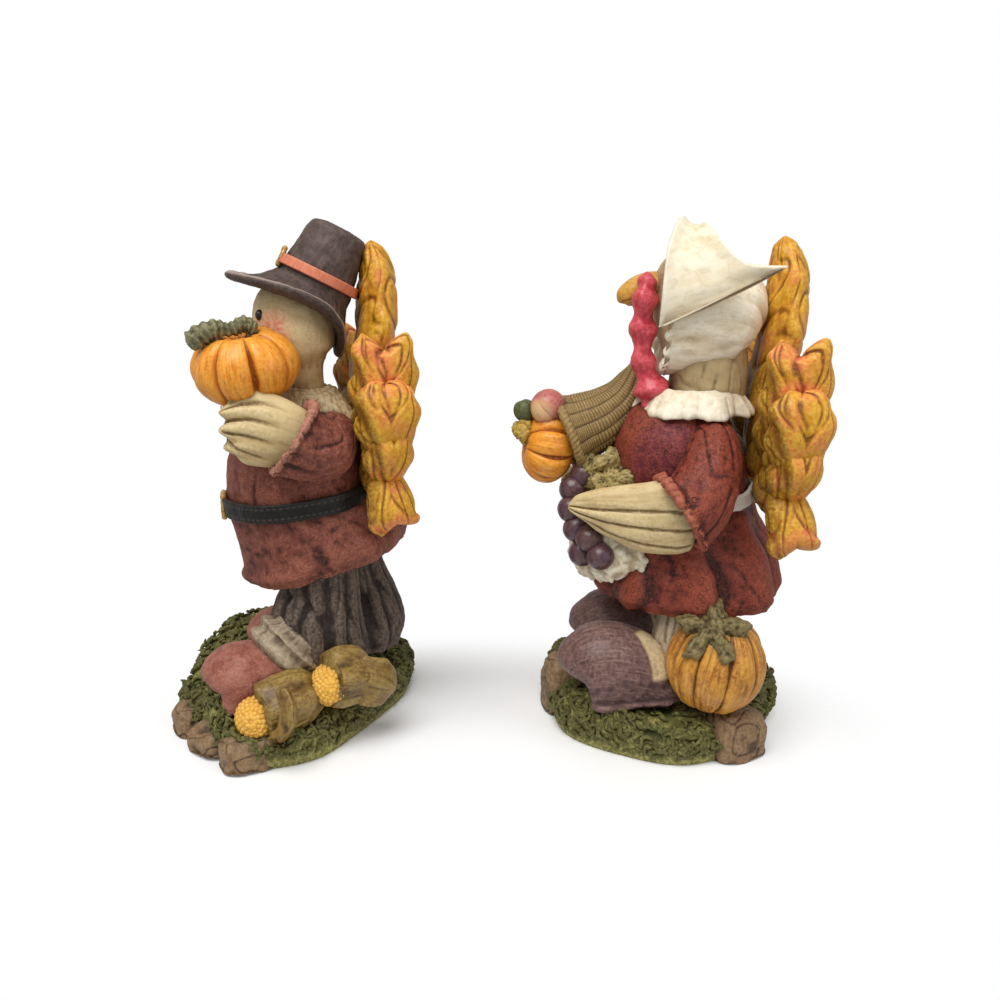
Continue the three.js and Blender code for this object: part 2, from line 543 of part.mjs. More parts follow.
// A closed geometry as a solid that can be joined and cut
function solidOf(geometry) {
  return new wasm.Manifold(new wasm.Mesh({
    numProp: 3,
    vertProperties: new Float32Array(geometry.getAttribute("position").array),
    triVerts: new Uint32Array(geometry.index.array),
  }));
}

// Several closed geometries joined to one solid
function joined(shapes) {
  return shapes.map(solidOf).reduce((whole, next) => whole.add(next));
}

// The mirror image of a geometry across the figure's middle plane
function mirrored(geometry, sign) {
  if (sign > 0) return geometry;
  return facingOut(geometry.clone().scale(1, -1, 1));
}

// Ground: an irregular mound with a flat underside and a bank on its far side
function ground(base) {
  const { halfLength, halfDepth, rise, bank, tuft, outlineShares } = base;
  const { around, along } = FACETS.ground;
  const twelfth = TURN / outlineShares.length;
  const rim = new THREE.CatmullRomCurve3(outlineShares.map((share, i) => (
    vec(Math.cos(i * twelfth), Math.sin(i * twelfth), 0).multiplyScalar(share))), true);
  const rings = new THREE.SplineCurve(BASE_RINGS_SHARES.map(([out, up]) => new THREE.Vector2(out, up)));
  const middle = onBase(base, [0, 0]);
  return reshaped(new THREE.CylinderGeometry(1, 1, 1, around, along), (x, y, z) => {
    const ring = rings.getPoint(y + HALF_SHARE);
    const turned = (Math.atan2(z, x) / TURN + 1) % 1;
    const out = rim.getPoint(turned).multiplyScalar(ring.x * Math.hypot(x, z));
    const far = smoothstep(out.y, 0, 1) * smoothstep(-out.x, -1, 1) * smoothstep(ring.y, 0, 1);
    const wave = Math.cos(turned * TUFTS.around * TURN) * Math.cos((y + HALF_SHARE) * TUFTS.up * TURN);
    const lump = tuft * wave * Math.hypot(x, z) * smoothstep(ring.y, 0, 1);
    const spot = vec(out.x * halfLength, out.y * halfDepth, ring.y * rise + far * bank + lump);
    return spot.addScaledVector(out, -Math.abs(lump)).add(middle);
  });
}

// A rounded block of stone with a flat underside
function stone(base, { long, broad, high, turnShare, placeShares }) {
  const { around, along } = FACETS.stone;
  const blocky = (share) => Math.sign(share) * Math.abs(share) ** BLOCKY_SHARE;
  const middle = onBase(base, placeShares);
  return reshaped(new THREE.SphereGeometry(1, around, along), (x, y, z) => {
    const level = Math.max(blocky(y) + 1, BURIED_SHARE) - BURIED_SHARE;
    return vec(blocky(x) * long, blocky(z) * broad, level * high / (2 - BURIED_SHARE))
      .applyAxisAngle(Z_WAY, turnShare * TURN)
      .add(middle);
  });
}

// The body's path and half sizes, in millimetres
function bodyPath(body) {
  return body.pathShares.map((shares) => onBody(body, shares));
}

// How far along the body's path a height share lies
function alongBody(body, heightShare) {
  const middle = new THREE.CatmullRomCurve3(bodyPath(body));
  const height = body.hem + body.rise * heightShare;
  let [low, high] = [0, 1];
  for (let i = 0; i < HALVINGS; i += 1) {
    const t = (low + high) * HALF_SHARE;
    if (middle.getPoint(t).z < height) low = t;
    else high = t;
  }
  return low;
}

// The pleats, deepest at the hem
function bodyRipple(body, angle, t) {
  return 1 + body.pleatShare * (1 - smoothstep(t, 0, 1)) * Math.cos(angle * body.pleats);
}

// Coat or dress: a solid that swells from the neck to a pleated hem, which tilts from front to back
function bodySolid(body) {
  const shape = loft({
    path: bodyPath(body),
    wides: scaled(body.wideShares, body.width),
    deeps: scaled(body.deepShares, body.depth),
    broad: X_WAY, around: body.pleats * FACETS.body.around, along: FACETS.body.along,
    ripple: (angle, t) => bodyRipple(body, angle, t),
  });
  return reshaped(shape, (x, y, z) => {
    const low = 1 - smoothstep(z, body.hem, body.hem + body.rise * HALF_SHARE);
    return vec(x, y, z + low * body.tiltShare * body.rise * x / body.width);
  });
}

// A band round the body between two heights, a little higher at the back
function bandRound(body, band) {
  const middle = new THREE.CatmullRomCurve3(bodyPath(body));
  const girth = new THREE.SplineCurve(body.wideShares.map((wide, i) => (
    new THREE.Vector2(wide * body.width, body.deepShares[i] * body.depth))));
  const off = 2 * GLUE_GAP + band.thick * HALF_SHARE;
  const surface = (angle, s) => {
    const heightShare = lerp(band.fromShare, band.toShare, s) + band.riseShare * Math.cos(angle);
    const t = alongBody(body, heightShare);
    const half = girth.getPoint(t).multiplyScalar(bodyRipple(body, angle, t));
    const out = vec(Math.cos(angle) * (half.x + off), Math.sin(angle) * (half.y + off), 0);
    return middle.getPoint(t).add(out);
  };
  return ringSheet(surface, band.thick, body.pleats * FACETS.body.around, 1);
}

// A square buckle frame, facing +Z
function buckle({ side, bar, thick }) {
  const half = side * HALF_SHARE;
  const square = (reach) => [[-reach, -reach], [reach, -reach], [reach, reach], [-reach, reach]]
    .map(([x, y]) => new THREE.Vector2(x, y));
  const outline = new THREE.Shape(square(half));
  outline.holes.push(new THREE.Path(square(half - bar).reverse()));
  const frame = new THREE.ExtrudeGeometry(outline, { depth: thick, bevelEnabled: false });
  return frame.translate(0, 0, -thick * HALF_SHARE);
}

// Head and neck in one
function headSolid(body, head) {
  return loft({
    path: head.pathShares.map((shares) => onHead(body, head, shares)),
    wides: scaled(head.wideShares, head.radius),
    deeps: scaled(head.deepShares, head.radius),
    broad: X_WAY, ...FACETS.head,
  });
}

// A short hooked beak
function beakSolid(body, head, beak) {
  const root = onHead(body, head, beak.placeShares);
  return loft({
    path: beak.pathShares.map((shares) => vec(...shares).multiplyScalar(beak.length).add(root)),
    wides: scaled(BEAK_SHARES, beak.width),
    deeps: scaled(BEAK_SHARES, beak.depth),
    broad: Y_WAY, ...FACETS.beak,
  });
}

// A hanging string of soft beads
function wattleSolid(body, head, wattle) {
  const top = onHead(body, head, wattle.placeShares);
  const girth = scaled(wattle.girthShares, wattle.radius);
  const { around, along } = FACETS.wattle;
  return loft({
    path: wattle.pathShares.map((shares) => vec(...shares).multiplyScalar(wattle.length).add(top)),
    wides: girth, deeps: girth, broad: X_WAY, around, along: wattle.beads * along,
    ripple: (angle, t) => 1 - wattle.beadShare * Math.cos(t * wattle.beads * TURN),
  });
}

// The hat's own frame, leaning back from its seat on the head
function hatFrame() {
  const lean = new THREE.Matrix4().makeRotationY(HAT.leanShare * TURN);
  return lean.setPosition(onHead(COAT, MAN_HEAD, HAT.placeShares));
}

// The radius of the crown at a share of its rise
function crownRadius(share) {
  return lerp(HAT.crownRadius, HAT.topRadius, share);
}

// The crown, with a plug that seats it on the head
function crown() {
  const frame = hatFrame();
  const profile = CROWN_SHARES.map(([out, up]) => (
    new THREE.Vector2(crownRadius(up) * out, HAT.crownRise * up)));
  const plug = [new THREE.Vector2(0, -HAT.plug), new THREE.Vector2(profile[0].x, -HAT.plug)];
  const points = [...plug, ...profile, new THREE.Vector2(0, profile.at(-1).y)];
  const turned = new THREE.LatheGeometry(points, FACETS.crown.around);
  return reshaped(turned, (x, y, z) => vec(x, -z, y).applyMatrix4(frame));
}

// The brim, which is longest in front, dips at its middle and hangs down behind
function hatBrim() {
  const between = (angle, front, side, back) => {
    const ahead = Math.max(-Math.cos(angle), 0) ** 2;
    const behind = Math.max(Math.cos(angle), 0) ** 2;
    return side + (front - side) * ahead + (back - side) * behind;
  };
  const surface = (angle, s) => {
    const reach = between(angle, HAT.reachFront, HAT.reachSide, HAT.reachBack);
    const drop = between(angle, HAT.dropFront, HAT.dropSide, HAT.dropBack);
    const out = lerp(HAT.crownRadius - HAT.rimThick, reach, s);
    const level = -drop * s * s - HAT.dip * s * (1 - s);
    return vec(Math.cos(angle) * out, Math.sin(angle) * out, level);
  };
  const { around, along } = FACETS.brim;
  return ringSheet(surface, HAT.rimThick, around, along).applyMatrix4(hatFrame());
}

// The ribbon round the foot of the crown
function hatBand() {
  const surface = (angle, s) => {
    const share = lerp(HAT_BAND.fromShare, HAT_BAND.toShare, s);
    const out = crownRadius(share) + 2 * GLUE_GAP + HAT_BAND.thick * HALF_SHARE;
    return vec(Math.cos(angle) * out, Math.sin(angle) * out, HAT.crownRise * share);
  };
  return ringSheet(surface, HAT_BAND.thick, FACETS.crown.around, 1).applyMatrix4(hatFrame());
}

// The buckle on the ribbon, upright against the front of the crown
function hatBuckle() {
  const out = crownRadius(HAT_BUCKLE.heightShare) + HAT_BAND.thick;
  const upright = new THREE.Matrix4().makeRotationY(-TURN / 4);
  upright.setPosition(-out, 0, HAT.crownRise * HAT_BUCKLE.heightShare);
  const place = hatFrame().multiply(upright);
  return reshaped(buckle(HAT_BUCKLE), (x, y, z) => vec(x, y, z).applyMatrix4(place));
}

// The buckle on the belt, at the front of the coat
function beltBuckle() {
  const heightShare = lerp(BELT.fromShare, BELT.toShare, HALF_SHARE) - BELT.riseShare;
  const t = alongBody(COAT, heightShare);
  const spot = new THREE.CatmullRomCurve3(bodyPath(COAT)).getPoint(t);
  const widths = new THREE.SplineCurve(scaled(COAT.wideShares, COAT.width).map((wide) => (
    new THREE.Vector2(wide, 0))));
  const front = spot.x - widths.getPoint(t).x - BELT.thick;
  const place = new THREE.Matrix4().makeRotationY(-TURN / 4).setPosition(front, 0, spot.z);
  return reshaped(buckle(BELT_BUCKLE), (x, y, z) => vec(x, y, z).applyMatrix4(place));
}

// The gathered cap round the back of the head, with a frilled front edge
function capSolid() {
  const middle = onHead(DRESS, WOMAN_HEAD, CAP.placeShares);
  return loft({
    path: CAP.pathShares.map((shares) => vec(...shares).multiplyScalar(CAP.length).add(middle)),
    wides: scaled(CAP.wideShares, CAP.width),
    deeps: scaled(CAP.deepShares, CAP.height),
    broad: Y_WAY, around: CAP.frills * FACETS.cap.around, along: FACETS.cap.along,
    ripple: (angle, t) => 1 + CAP.frillShare * (1 - t) * Math.cos(angle * CAP.frills),
  });
}

// The folded-back brim of the bonnet, from its low corner on one side over the peak to the other
function bonnetBrim() {
  const corner = onHead(DRESS, WOMAN_HEAD, BRIM.placeShares);
  const edge = (shares) => {
    const near = shares.map(([x, y, z]) => vec(BRIM.length * x, BRIM.half * y, BRIM.rise * z));
    const far = near.slice(0, -1).reverse().map(({ x, y, z }) => vec(x, -y, z));
    const whole = [...near, ...far].map((spot) => spot.applyAxisAngle(Z_WAY, BRIM.turnShare * TURN));
    return new THREE.CatmullRomCurve3(whole.map((spot) => spot.add(corner)));
  };
  const front = edge(BRIM.frontShares);
  const back = edge(BRIM.backShares);
  const surface = (u, v) => {
    const out = front.getPoint(clamp(u, 0, 1)).lerp(back.getPoint(clamp(u, 0, 1)), v);
    const away = vec(0, out.y - corner.y, out.z - corner.z).normalize();
    return out.addScaledVector(away, BRIM.curl * (v * v - v));
  };
  return sheet(surface, BRIM.thick, FACETS.bonnet.around, FACETS.bonnet.along);
}

// A collar that falls from the neck over the shoulders, with its outer edge in points
function collarSolid(body, collar) {
  const middle = onBody(body, collar.placeShares);
  const surface = (angle, s) => {
    const point = 1 - collar.pointShare * Math.cos(angle * collar.points) * s;
    const out = lerp(collar.inner, collar.outer * point, s);
    const level = lerp(collar.lift, -collar.fall * point, s * s);
    return vec(Math.cos(angle) * out, Math.sin(angle) * out, level).add(middle);
  };
  return ringSheet(surface, collar.thick, collar.points * FACETS.collar.around, FACETS.collar.along);
}

// A sleeve that widens to a ruffled opening
function sleeveSolid(body, sleeve, sign) {
  return mirrored(loft({
    path: sleeve.pathShares.map((shares) => onBody(body, shares)),
    wides: scaled(sleeve.wideShares, sleeve.width),
    deeps: scaled(sleeve.deepShares, sleeve.depth),
    broad: Y_WAY, around: sleeve.ruffles * FACETS.sleeve.around, along: FACETS.sleeve.along,
    ripple: (angle, t) => 1 + sleeve.ruffleShare * t * Math.cos(angle * sleeve.ruffles),
  }), sign);
}

// A wing that serves as a hand, ridged between its feathers, whose tips end in steps with notches
function wingSolid(body, wing, sign) {
  const ridge = (down) => Math.cos(down * wing.fingers * TURN * HALF_SHARE);
  const feathers = loft({
    path: wing.pathShares.map((shares) => onBody(body, shares)),
    wides: scaled(wing.wideShares, wing.width),
    deeps: scaled(wing.deepShares, wing.depth),
    broad: Y_WAY, around: wing.fingers * FACETS.wing.around, along: FACETS.wing.along,
    ripple: (angle, t) => 1 + wing.fingerShare * t * ridge(Math.sin(angle)),
  });
  const middle = onBody(body, wing.pathShares[2]);
  const stepped = reshaped(feathers, (x, y, z) => {
    const down = (middle.z - z) / wing.depth;
    const out = clamp((middle.x - x) / (body.width * HALF_SHARE), 0, 1);
    const back = wing.notchShare * (1 - ridge(down)) * HALF_SHARE - wing.stepShare * down;
    return vec(x + out * back * wing.depth, y, z);
  });
  return mirrored(stepped, sign);
}

// A leg of the breeches, a gaiter or a stocking
function legSolid(body, base, leg, which, ripple) {
  return loft({
    path: leg.legsShares[which.leg].map((shares) => underHem(body, base, shares)),
    wides: scaled(leg.girthShares, leg.width),
    deeps: scaled(leg.girthShares, leg.depth),
    broad: X_WAY, ...FACETS.leg, ripple,
  });
}

// A shoe with a round toe and a flat sole
function shoeSolid(body, base, shoe, which) {
  const [x, y] = shoe.placesShares[which.leg];
  const middle = vec(body.width * x, body.depth * y, base.rise - shoe.sinkShare * shoe.height);
  const sole = LAST.soleShare * shoe.height;
  const upper = loft({
    path: LAST.pathShares.map(([ahead, , up]) => vec(shoe.length * ahead, 0, shoe.height * up)),
    wides: scaled(LAST.wideShares, shoe.width),
    deeps: scaled(LAST.deepShares, shoe.height),
    broad: Y_WAY, ...FACETS.shoe,
  });
  return reshaped(upper, (ahead, side, up) => vec(ahead, side, Math.max(up, sole)).add(middle));
}

// One paired feather of the tail, on the -Y side or mirrored
function sideFeather(root, reach, { width, depth, notchShare, wideShares, deepShares, pathShares }, sign) {
  const path = pathShares.map(([x, y, z]) => vec(x, -y, z).multiplyScalar(reach).add(root));
  return mirrored(loft({
    path,
    wides: scaled(wideShares, width),
    deeps: scaled(deepShares, depth),
    broad: X_WAY, ...FACETS.feather, notch: notchShare * width,
  }), sign);
}

// The tall feather in the middle of the tail
function tallFeather(root, reach) {
  return loft({
    path: TAIL.tallShares.map((shares) => vec(...shares).multiplyScalar(reach).add(root)),
    wides: scaled(TAIL.tallWideShares, TAIL.tallWidth),
    deeps: scaled(TAIL.tallDeepShares, TAIL.tallDepth),
    broad: Y_WAY, ...FACETS.tall,
  });
}

// The whole fan: the tall feather, and the others in pairs
function tailFan(body, { reach, placeShares }) {
  const root = onBody(body, placeShares);
  const feathers = [CREST_FEATHER, BROAD_FEATHER, SHORT_FEATHER, LOW_FEATHER];
  const paired = pair(({ sign }) => feathers.map((one) => sideFeather(root, reach, one, sign)));
  return [tallFeather(root, reach), ...paired.flat()];
}

// The knobbly vine on the gentleman's pumpkin
function vineSolid() {
  const up = vec(...MAN_PUMPKIN.leanShares).normalize().multiplyScalar(MAN_PUMPKIN.height);
  const top = onBody(COAT, MAN_PUMPKIN.placeShares).add(up);
  const girth = scaled(VINE.girthShares, VINE.radius);
  const { around, along } = FACETS.vine;
  return loft({
    path: VINE.pathShares.map((shares) => vec(...shares).multiplyScalar(VINE.length).add(top)),
    wides: girth, deeps: girth, broad: Y_WAY, around, along: VINE.knots * along,
    ripple: (angle, t) => 1 + VINE.knotShare * Math.cos(t * VINE.knots * TURN + angle),
  });
}

// A lobed leaf that droops from its middle, facing along a direction
function leafSolid({ radius, thick, lobes, lobeShare, droop, leanShares }, middle) {
  const lean = new THREE.Quaternion().setFromUnitVectors(Z_WAY, vec(...leanShares).normalize());
  const disc = new THREE.CylinderGeometry(1, 1, 1, lobes * FACETS.leaf.around, FACETS.leaf.along);
  return reshaped(disc, (x, y, z) => {
    const swell = radius * (1 + lobeShare * Math.cos(Math.atan2(z, x) * lobes));
    const flat = Math.hypot(x, z);
    return vec(x * swell, -z * swell, y * thick - droop * flat * flat).applyQuaternion(lean).add(middle);
  });
}

// The horn of plenty: a ribbed horn that curves up to its point
function hornSolid() {
  const girth = scaled(HORN.girthShares, HORN.width);
  const { around, along } = FACETS.horn;
  return loft({
    path: HORN.pathShares.map((shares) => onBody(DRESS, shares)),
    wides: girth, deeps: girth, broad: Y_WAY, around: HORN.ribs * around, along,
    ripple: (angle) => 1 + HORN.ribShare * Math.cos(angle * HORN.ribs),
  });
}

// The rolled rim of the horn's mouth
function hornRim() {
  const mouth = new THREE.CatmullRomCurve3(HORN.pathShares.map((shares) => onBody(DRESS, shares)));
  const lean = new THREE.Quaternion().setFromUnitVectors(Z_WAY, mouth.getTangent(0));
  const middle = mouth.getPoint(0);
  const roll = new THREE.TorusGeometry(HORN.width, HORN_RIM.radius, FACETS.rim.around, HORN_RIM.strands);
  return reshaped(roll, (x, y, z) => vec(x, y, z).applyQuaternion(lean).add(middle));
}

// A bunch of round berries that press into one another
function bunch(body, { radius, placesShares }) {
  return placesShares.map((shares) => {
    const middle = onBody(body, shares);
    const berry = new THREE.SphereGeometry(radius, FACETS.berry.around, FACETS.berry.along);
    return reshaped(berry, (x, y, z) => vec(x, -z, y).add(middle));
  });
}

// The lace-edged cloth under the goods
function laceSolid() {
  return loft({
    path: LACE.pathShares.map((shares) => onBody(DRESS, shares)),
    wides: scaled(LACE.girthShares, LACE.width),
    deeps: scaled(LACE.girthShares, LACE.depth),
    broad: X_WAY, around: LACE.scallops * FACETS.lace.around, along: FACETS.lace.along,
    ripple: (angle, t) => 1 + LACE.scallopShare * t * Math.cos(angle * LACE.scallops),
  });
}

// An ear of corn
function cobSolid(ear) {
  const end = underHem(COAT, MAN_BASE, ear.placeShares);
  const aim = vec(...ear.aimShares).normalize();
  const path = scaled(COB.alongShares, ear.length).map((along) => end.clone().addScaledVector(aim, along));
  const girth = scaled(COB.girthShares, ear.radius);
  return loft({ path, wides: girth, deeps: girth, broad: Z_WAY, ...FACETS.cob });
}

// A sheath or a leaf of the husk
function huskSolid(husk, girthShares) {
  return loft({
    path: husk.pathShares.map((shares) => underHem(COAT, MAN_BASE, shares)),
    wides: scaled(girthShares, husk.width),
    deeps: scaled(girthShares, husk.depth),
    broad: Z_WAY, around: HUSK.folds * FACETS.husk.around, along: FACETS.husk.along,
    ripple: (angle) => 1 + HUSK.foldShare * Math.cos(angle * HUSK.folds),
  });
}

// An element's name and paint, and the closed shapes that it joins
function element(name, paint, ...shapes) {
  return { name, paint, shapes };
}

// What is made once for the left side and once for the right
function pair(make) {
  return [LEFT, RIGHT].map(make);
}

// The same element on either side
function sided(name, paint, make) {
  return pair((which) => element(`${name}_${which.side}`, paint, make(which)));
}

// The elements of a figure, in the order in which they are set: each is fitted to all those before it
function manElements() {
  const gathers = (angle) => 1 + BREECHES.pleatShare * Math.cos(angle * BREECHES.pleats);
  const folds = (angle, t) => 1 + GAITER.foldShare * Math.cos(t * GAITER.folds * TURN);
  const sleeve = ({ sign }) => sleeveSolid(COAT, MAN_SLEEVE, sign);
  const wing = ({ sign }) => wingSolid(COAT, MAN_WING, sign);
  const shoe = (which) => shoeSolid(COAT, MAN_BASE, MAN_SHOE, which);
  const gaiter = (which) => legSolid(COAT, MAN_BASE, GAITER, which, folds);
  return [
    element("man_belt", PAINT.belt, bandRound(COAT, BELT)),
    element("man_hat_band", PAINT.ribbon, hatBand()),
    element(COAT.name, PAINT.coat, bodySolid(COAT)),
    element("man_head", PAINT.plumage, headSolid(COAT, MAN_HEAD)),
    element("man_pumpkin", PAINT.pumpkin, fruit(MAN_PUMPKIN, onBody(COAT, MAN_PUMPKIN.placeShares))),
    element("man_hat", PAINT.felt, crown(), hatBrim()),
    element("man_hat_buckle", PAINT.gilt, hatBuckle()),
    element("man_beak", PAINT.beak, beakSolid(COAT, MAN_HEAD, MAN_BEAK)),
    element("man_wattle", PAINT.wattle, wattleSolid(COAT, MAN_HEAD, MAN_WATTLE)),
    element("man_pumpkin_vine", PAINT.vine, vineSolid()),
    ...sided("man_sleeve", PAINT.coat, sleeve),
    ...sided("man_wing", PAINT.wing, wing),
    element("man_collar", PAINT.linen, collarSolid(COAT, MAN_COLLAR)),
    element("man_belt_buckle", PAINT.gilt, beltBuckle()),
    element("man_tail", PAINT.feather, ...tailFan(COAT, MAN_TAIL)),
    element("man_stone_front", PAINT.stone, stone(MAN_BASE, MAN_STONE_FRONT)),
    element("man_stone_middle", PAINT.stone, stone(MAN_BASE, MAN_STONE_MIDDLE)),
    element("man_stone_near", PAINT.stone, stone(MAN_BASE, MAN_STONE_NEAR)),
    element("man_base", PAINT.moss, ground(MAN_BASE)),
    ...sided("man_shoe", PAINT.shoe, shoe),
    ...sided("man_gaiter", PAINT.gaiter, gaiter),
    element("man_breeches", PAINT.breeches, ...pair((which) => (
      legSolid(COAT, MAN_BASE, BREECHES, which, gathers)))),
    element("man_corn_front", PAINT.corn, cobSolid(FRONT_CORN)),
    element("man_corn_near", PAINT.corn, cobSolid(NEAR_CORN)),
    element("man_husk_front", PAINT.husk, huskSolid(FRONT_HUSK, HUSK.girthShares),
      huskSolid(FRONT_HUSK_LEAF, HUSK.leafShares)),
    element("man_husk_near", PAINT.husk, huskSolid(NEAR_HUSK, HUSK.girthShares),
      huskSolid(NEAR_HUSK_LEAF, HUSK.leafShares)),
  ];
}

function womanElements() {
  const sidePumpkin = underHem(DRESS, WOMAN_BASE, SIDE_PUMPKIN.placeShares);
  const { radius, height } = SIDE_PUMPKIN;
  const sideLeaf = vec(...SIDE_LEAF.placeShares).multiply(vec(radius, radius, height)).add(sidePumpkin);
  const sleeve = ({ sign }) => sleeveSolid(DRESS, WOMAN_SLEEVE, sign);
  const wing = ({ sign }) => wingSolid(DRESS, WOMAN_WING, sign);
  const shoe = (which) => shoeSolid(DRESS, WOMAN_BASE, WOMAN_SHOE, which);
  const stocking = (which) => legSolid(DRESS, WOMAN_BASE, STOCKINGS, which);
  const held = (goods) => fruit(goods, onBody(DRESS, goods.placeShares));
  return [
    element("woman_sash", PAINT.sash, bandRound(DRESS, SASH)),
    element(DRESS.name, PAINT.dress, bodySolid(DRESS)),
    element("woman_head", PAINT.face, headSolid(DRESS, WOMAN_HEAD)),
    element("woman_cap", PAINT.linen, capSolid()),
    element("woman_bonnet_brim", PAINT.linen, bonnetBrim()),
    element("woman_beak", PAINT.beak, beakSolid(DRESS, WOMAN_HEAD, WOMAN_BEAK)),
    element("woman_collar", PAINT.linen, collarSolid(DRESS, WOMAN_COLLAR)),
    element("woman_wattle", PAINT.wattle, wattleSolid(DRESS, WOMAN_HEAD, WOMAN_WATTLE)),
    element("woman_horn", PAINT.horn, hornSolid(), hornRim()),
    element("woman_horn_pumpkin", PAINT.pumpkin, held(HORN_PUMPKIN)),
    element("woman_apple", PAINT.apple, held(APPLE)),
    element("woman_gourd", PAINT.gourd, held(GOURD)),
    element("woman_raisins", PAINT.raisin, ...bunch(DRESS, RAISINS)),
    ...sided("woman_sleeve", PAINT.dress, sleeve),
    ...sided("woman_wing", PAINT.wing, wing),
    element("woman_grapes", PAINT.grape, ...bunch(DRESS, GRAPES)),
    element("woman_grape_leaf", PAINT.leaf, leafSolid(GRAPE_LEAF, onBody(DRESS, GRAPE_LEAF.placeShares))),
    element("woman_lace_cloth", PAINT.linen, laceSolid()),
    element("woman_tail", PAINT.feather, ...tailFan(DRESS, WOMAN_TAIL)),
    element("woman_stone_front", PAINT.stone, stone(WOMAN_BASE, WOMAN_STONE_FRONT)),
    element("woman_stone_near", PAINT.stone, stone(WOMAN_BASE, WOMAN_STONE_NEAR)),
    element("woman_base", PAINT.moss, ground(WOMAN_BASE)),
    element("woman_side_pumpkin", PAINT.pumpkin, fruit(SIDE_PUMPKIN, sidePumpkin)),
    element("woman_side_leaf", PAINT.leaf, leafSolid(SIDE_LEAF, sideLeaf)),
    ...sided("woman_shoe", PAINT.clog, shoe),
    ...sided("woman_stocking", PAINT.stocking, stocking),
  ];
}

// The largest body of a solid, once its neighbours have cut it
function mainBody(solid) {
  return solid.decompose().reduce((main, next) => (next.volume() > main.volume() ? next : main));
}

// A solid as a mesh that carries its name and its paint
function meshOf(name, solid, [color, roughness, metalness]) {
  const paint = new THREE.MeshStandardMaterial({ color, roughness, metalness, flatShading: true });
  const { vertProperties, triVerts } = solid.getMesh();
  const geometry = new THREE.BufferGeometry();
  geometry.setAttribute("position", new THREE.BufferAttribute(vertProperties, 3));
  geometry.setIndex(new THREE.BufferAttribute(triVerts, 1));
  geometry.computeVertexNormals();
  const mesh = new THREE.Mesh(geometry, paint);
  mesh.name = name;
  return mesh;
}

// A figure: every element is cut by the seats of those set before it
function figure(elements) {
  const group = new THREE.Group();
  const seats = [];
  for (const { name, shapes, paint } of elements) {
    const whole = joined(shapes);
    const cut = seats.reduce((left, seat) => left.subtract(seat), whole);
    group.add(meshOf(name, mainBody(cut), paint));
    seats.push(joined(shapes.map(grown)));
  }
  return group;
}

// The pair, with the origin under the middle of its bounds
function pairOfTurkeys() {
  const man = figure(manElements());
  man.position.x = -SPACING * HALF_SHARE;
  man.rotation.z = MAN_TURN_SHARE * TURN;
  const woman = figure(womanElements());
  woman.position.x = SPACING * HALF_SHARE;
  const group = new THREE.Group();
  group.add(man, woman);
  group.updateMatrixWorld(true);
  const middle = new THREE.Box3().setFromObject(group, true).getCenter(vec());
  group.position.set(-middle.x, -middle.y, 0);
  return group;
}

export default pairOfTurkeys();
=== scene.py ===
"""Looks of a pair of hand-painted cast resin harvest turkeys, a gentleman and a lady.

Every sculpted element is built smooth from its own sizes, in millimetres in the figure's frame, where the
figure faces -X and +Z is up. It is then set in the row frame in metres in place of its CAD node.
"""

import logging
import math
from collections.abc import Callable, Sequence
from dataclasses import dataclass, field, replace
from enum import Enum

import bpy
import numpy as np
from mathutils import Euler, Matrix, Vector
from mathutils.bvhtree import BVHTree

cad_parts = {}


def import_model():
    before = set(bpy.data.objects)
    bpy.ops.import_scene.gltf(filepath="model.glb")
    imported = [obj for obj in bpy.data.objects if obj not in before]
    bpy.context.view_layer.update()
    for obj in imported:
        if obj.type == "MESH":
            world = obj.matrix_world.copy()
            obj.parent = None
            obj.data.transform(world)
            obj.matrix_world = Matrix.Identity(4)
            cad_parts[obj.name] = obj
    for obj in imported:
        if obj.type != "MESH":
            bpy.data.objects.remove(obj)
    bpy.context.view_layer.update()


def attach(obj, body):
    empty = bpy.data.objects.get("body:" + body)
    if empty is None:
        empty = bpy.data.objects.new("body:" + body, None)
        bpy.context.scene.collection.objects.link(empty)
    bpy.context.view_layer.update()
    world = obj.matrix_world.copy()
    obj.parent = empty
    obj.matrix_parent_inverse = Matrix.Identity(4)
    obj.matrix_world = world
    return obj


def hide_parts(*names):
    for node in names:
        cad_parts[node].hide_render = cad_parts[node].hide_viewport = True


Array = np.ndarray
Colour = tuple[int, int, int]
Shares = tuple[float, float, float]
Path = tuple[Shares, ...]
Sizes = tuple[float, ...]
Wave = Callable[[Array, Array], Array]

MILLIMETRE = 0.001
TURN = 2 * math.pi
X_WAY = np.array([1.0, 0.0, 0.0])
Y_WAY = np.array([0.0, 1.0, 0.0])
Z_WAY = np.array([0.0, 0.0, 1.0])
ACROSS = np.array([1, -1, 1])
NO_FACES = np.zeros((0, 3), int)
TINY = 1e-3
BAND_GAP = 0.5
SPACING = 116.3
PAIR_SHIFT = (-1.298, -2.426)

log = logging.getLogger("turkeys")


class Cap(Enum):
    """How the end of a lofted shape closes."""

    ROUND = "round"
    FLAT = "flat"
    HOLLOW = "hollow"


class Side(Enum):
    """The near side of a figure (-Y) and the far side. The value is the sign that mirrors a near shape."""

    LEFT = 1
    RIGHT = -1

    @property
    def word(self) -> str:
        """The side's name in node names."""
        return self.name.lower()

    @property
    def index(self) -> int:
        """The side's place in a list of two."""
        return 0 if self is Side.LEFT else 1


def ease(low: float, high: float, value: Array) -> Array:
    """A smooth step from 0 at low to 1 at high."""
    t = np.clip((np.asarray(value, float) - low) / (high - low), 0, 1)
    return t * t * (3 - 2 * t)


def unit(ways: Array) -> Array:
    """Directions scaled to length 1."""
    return ways / np.maximum(np.linalg.norm(ways, axis=-1, keepdims=True), 1e-9)


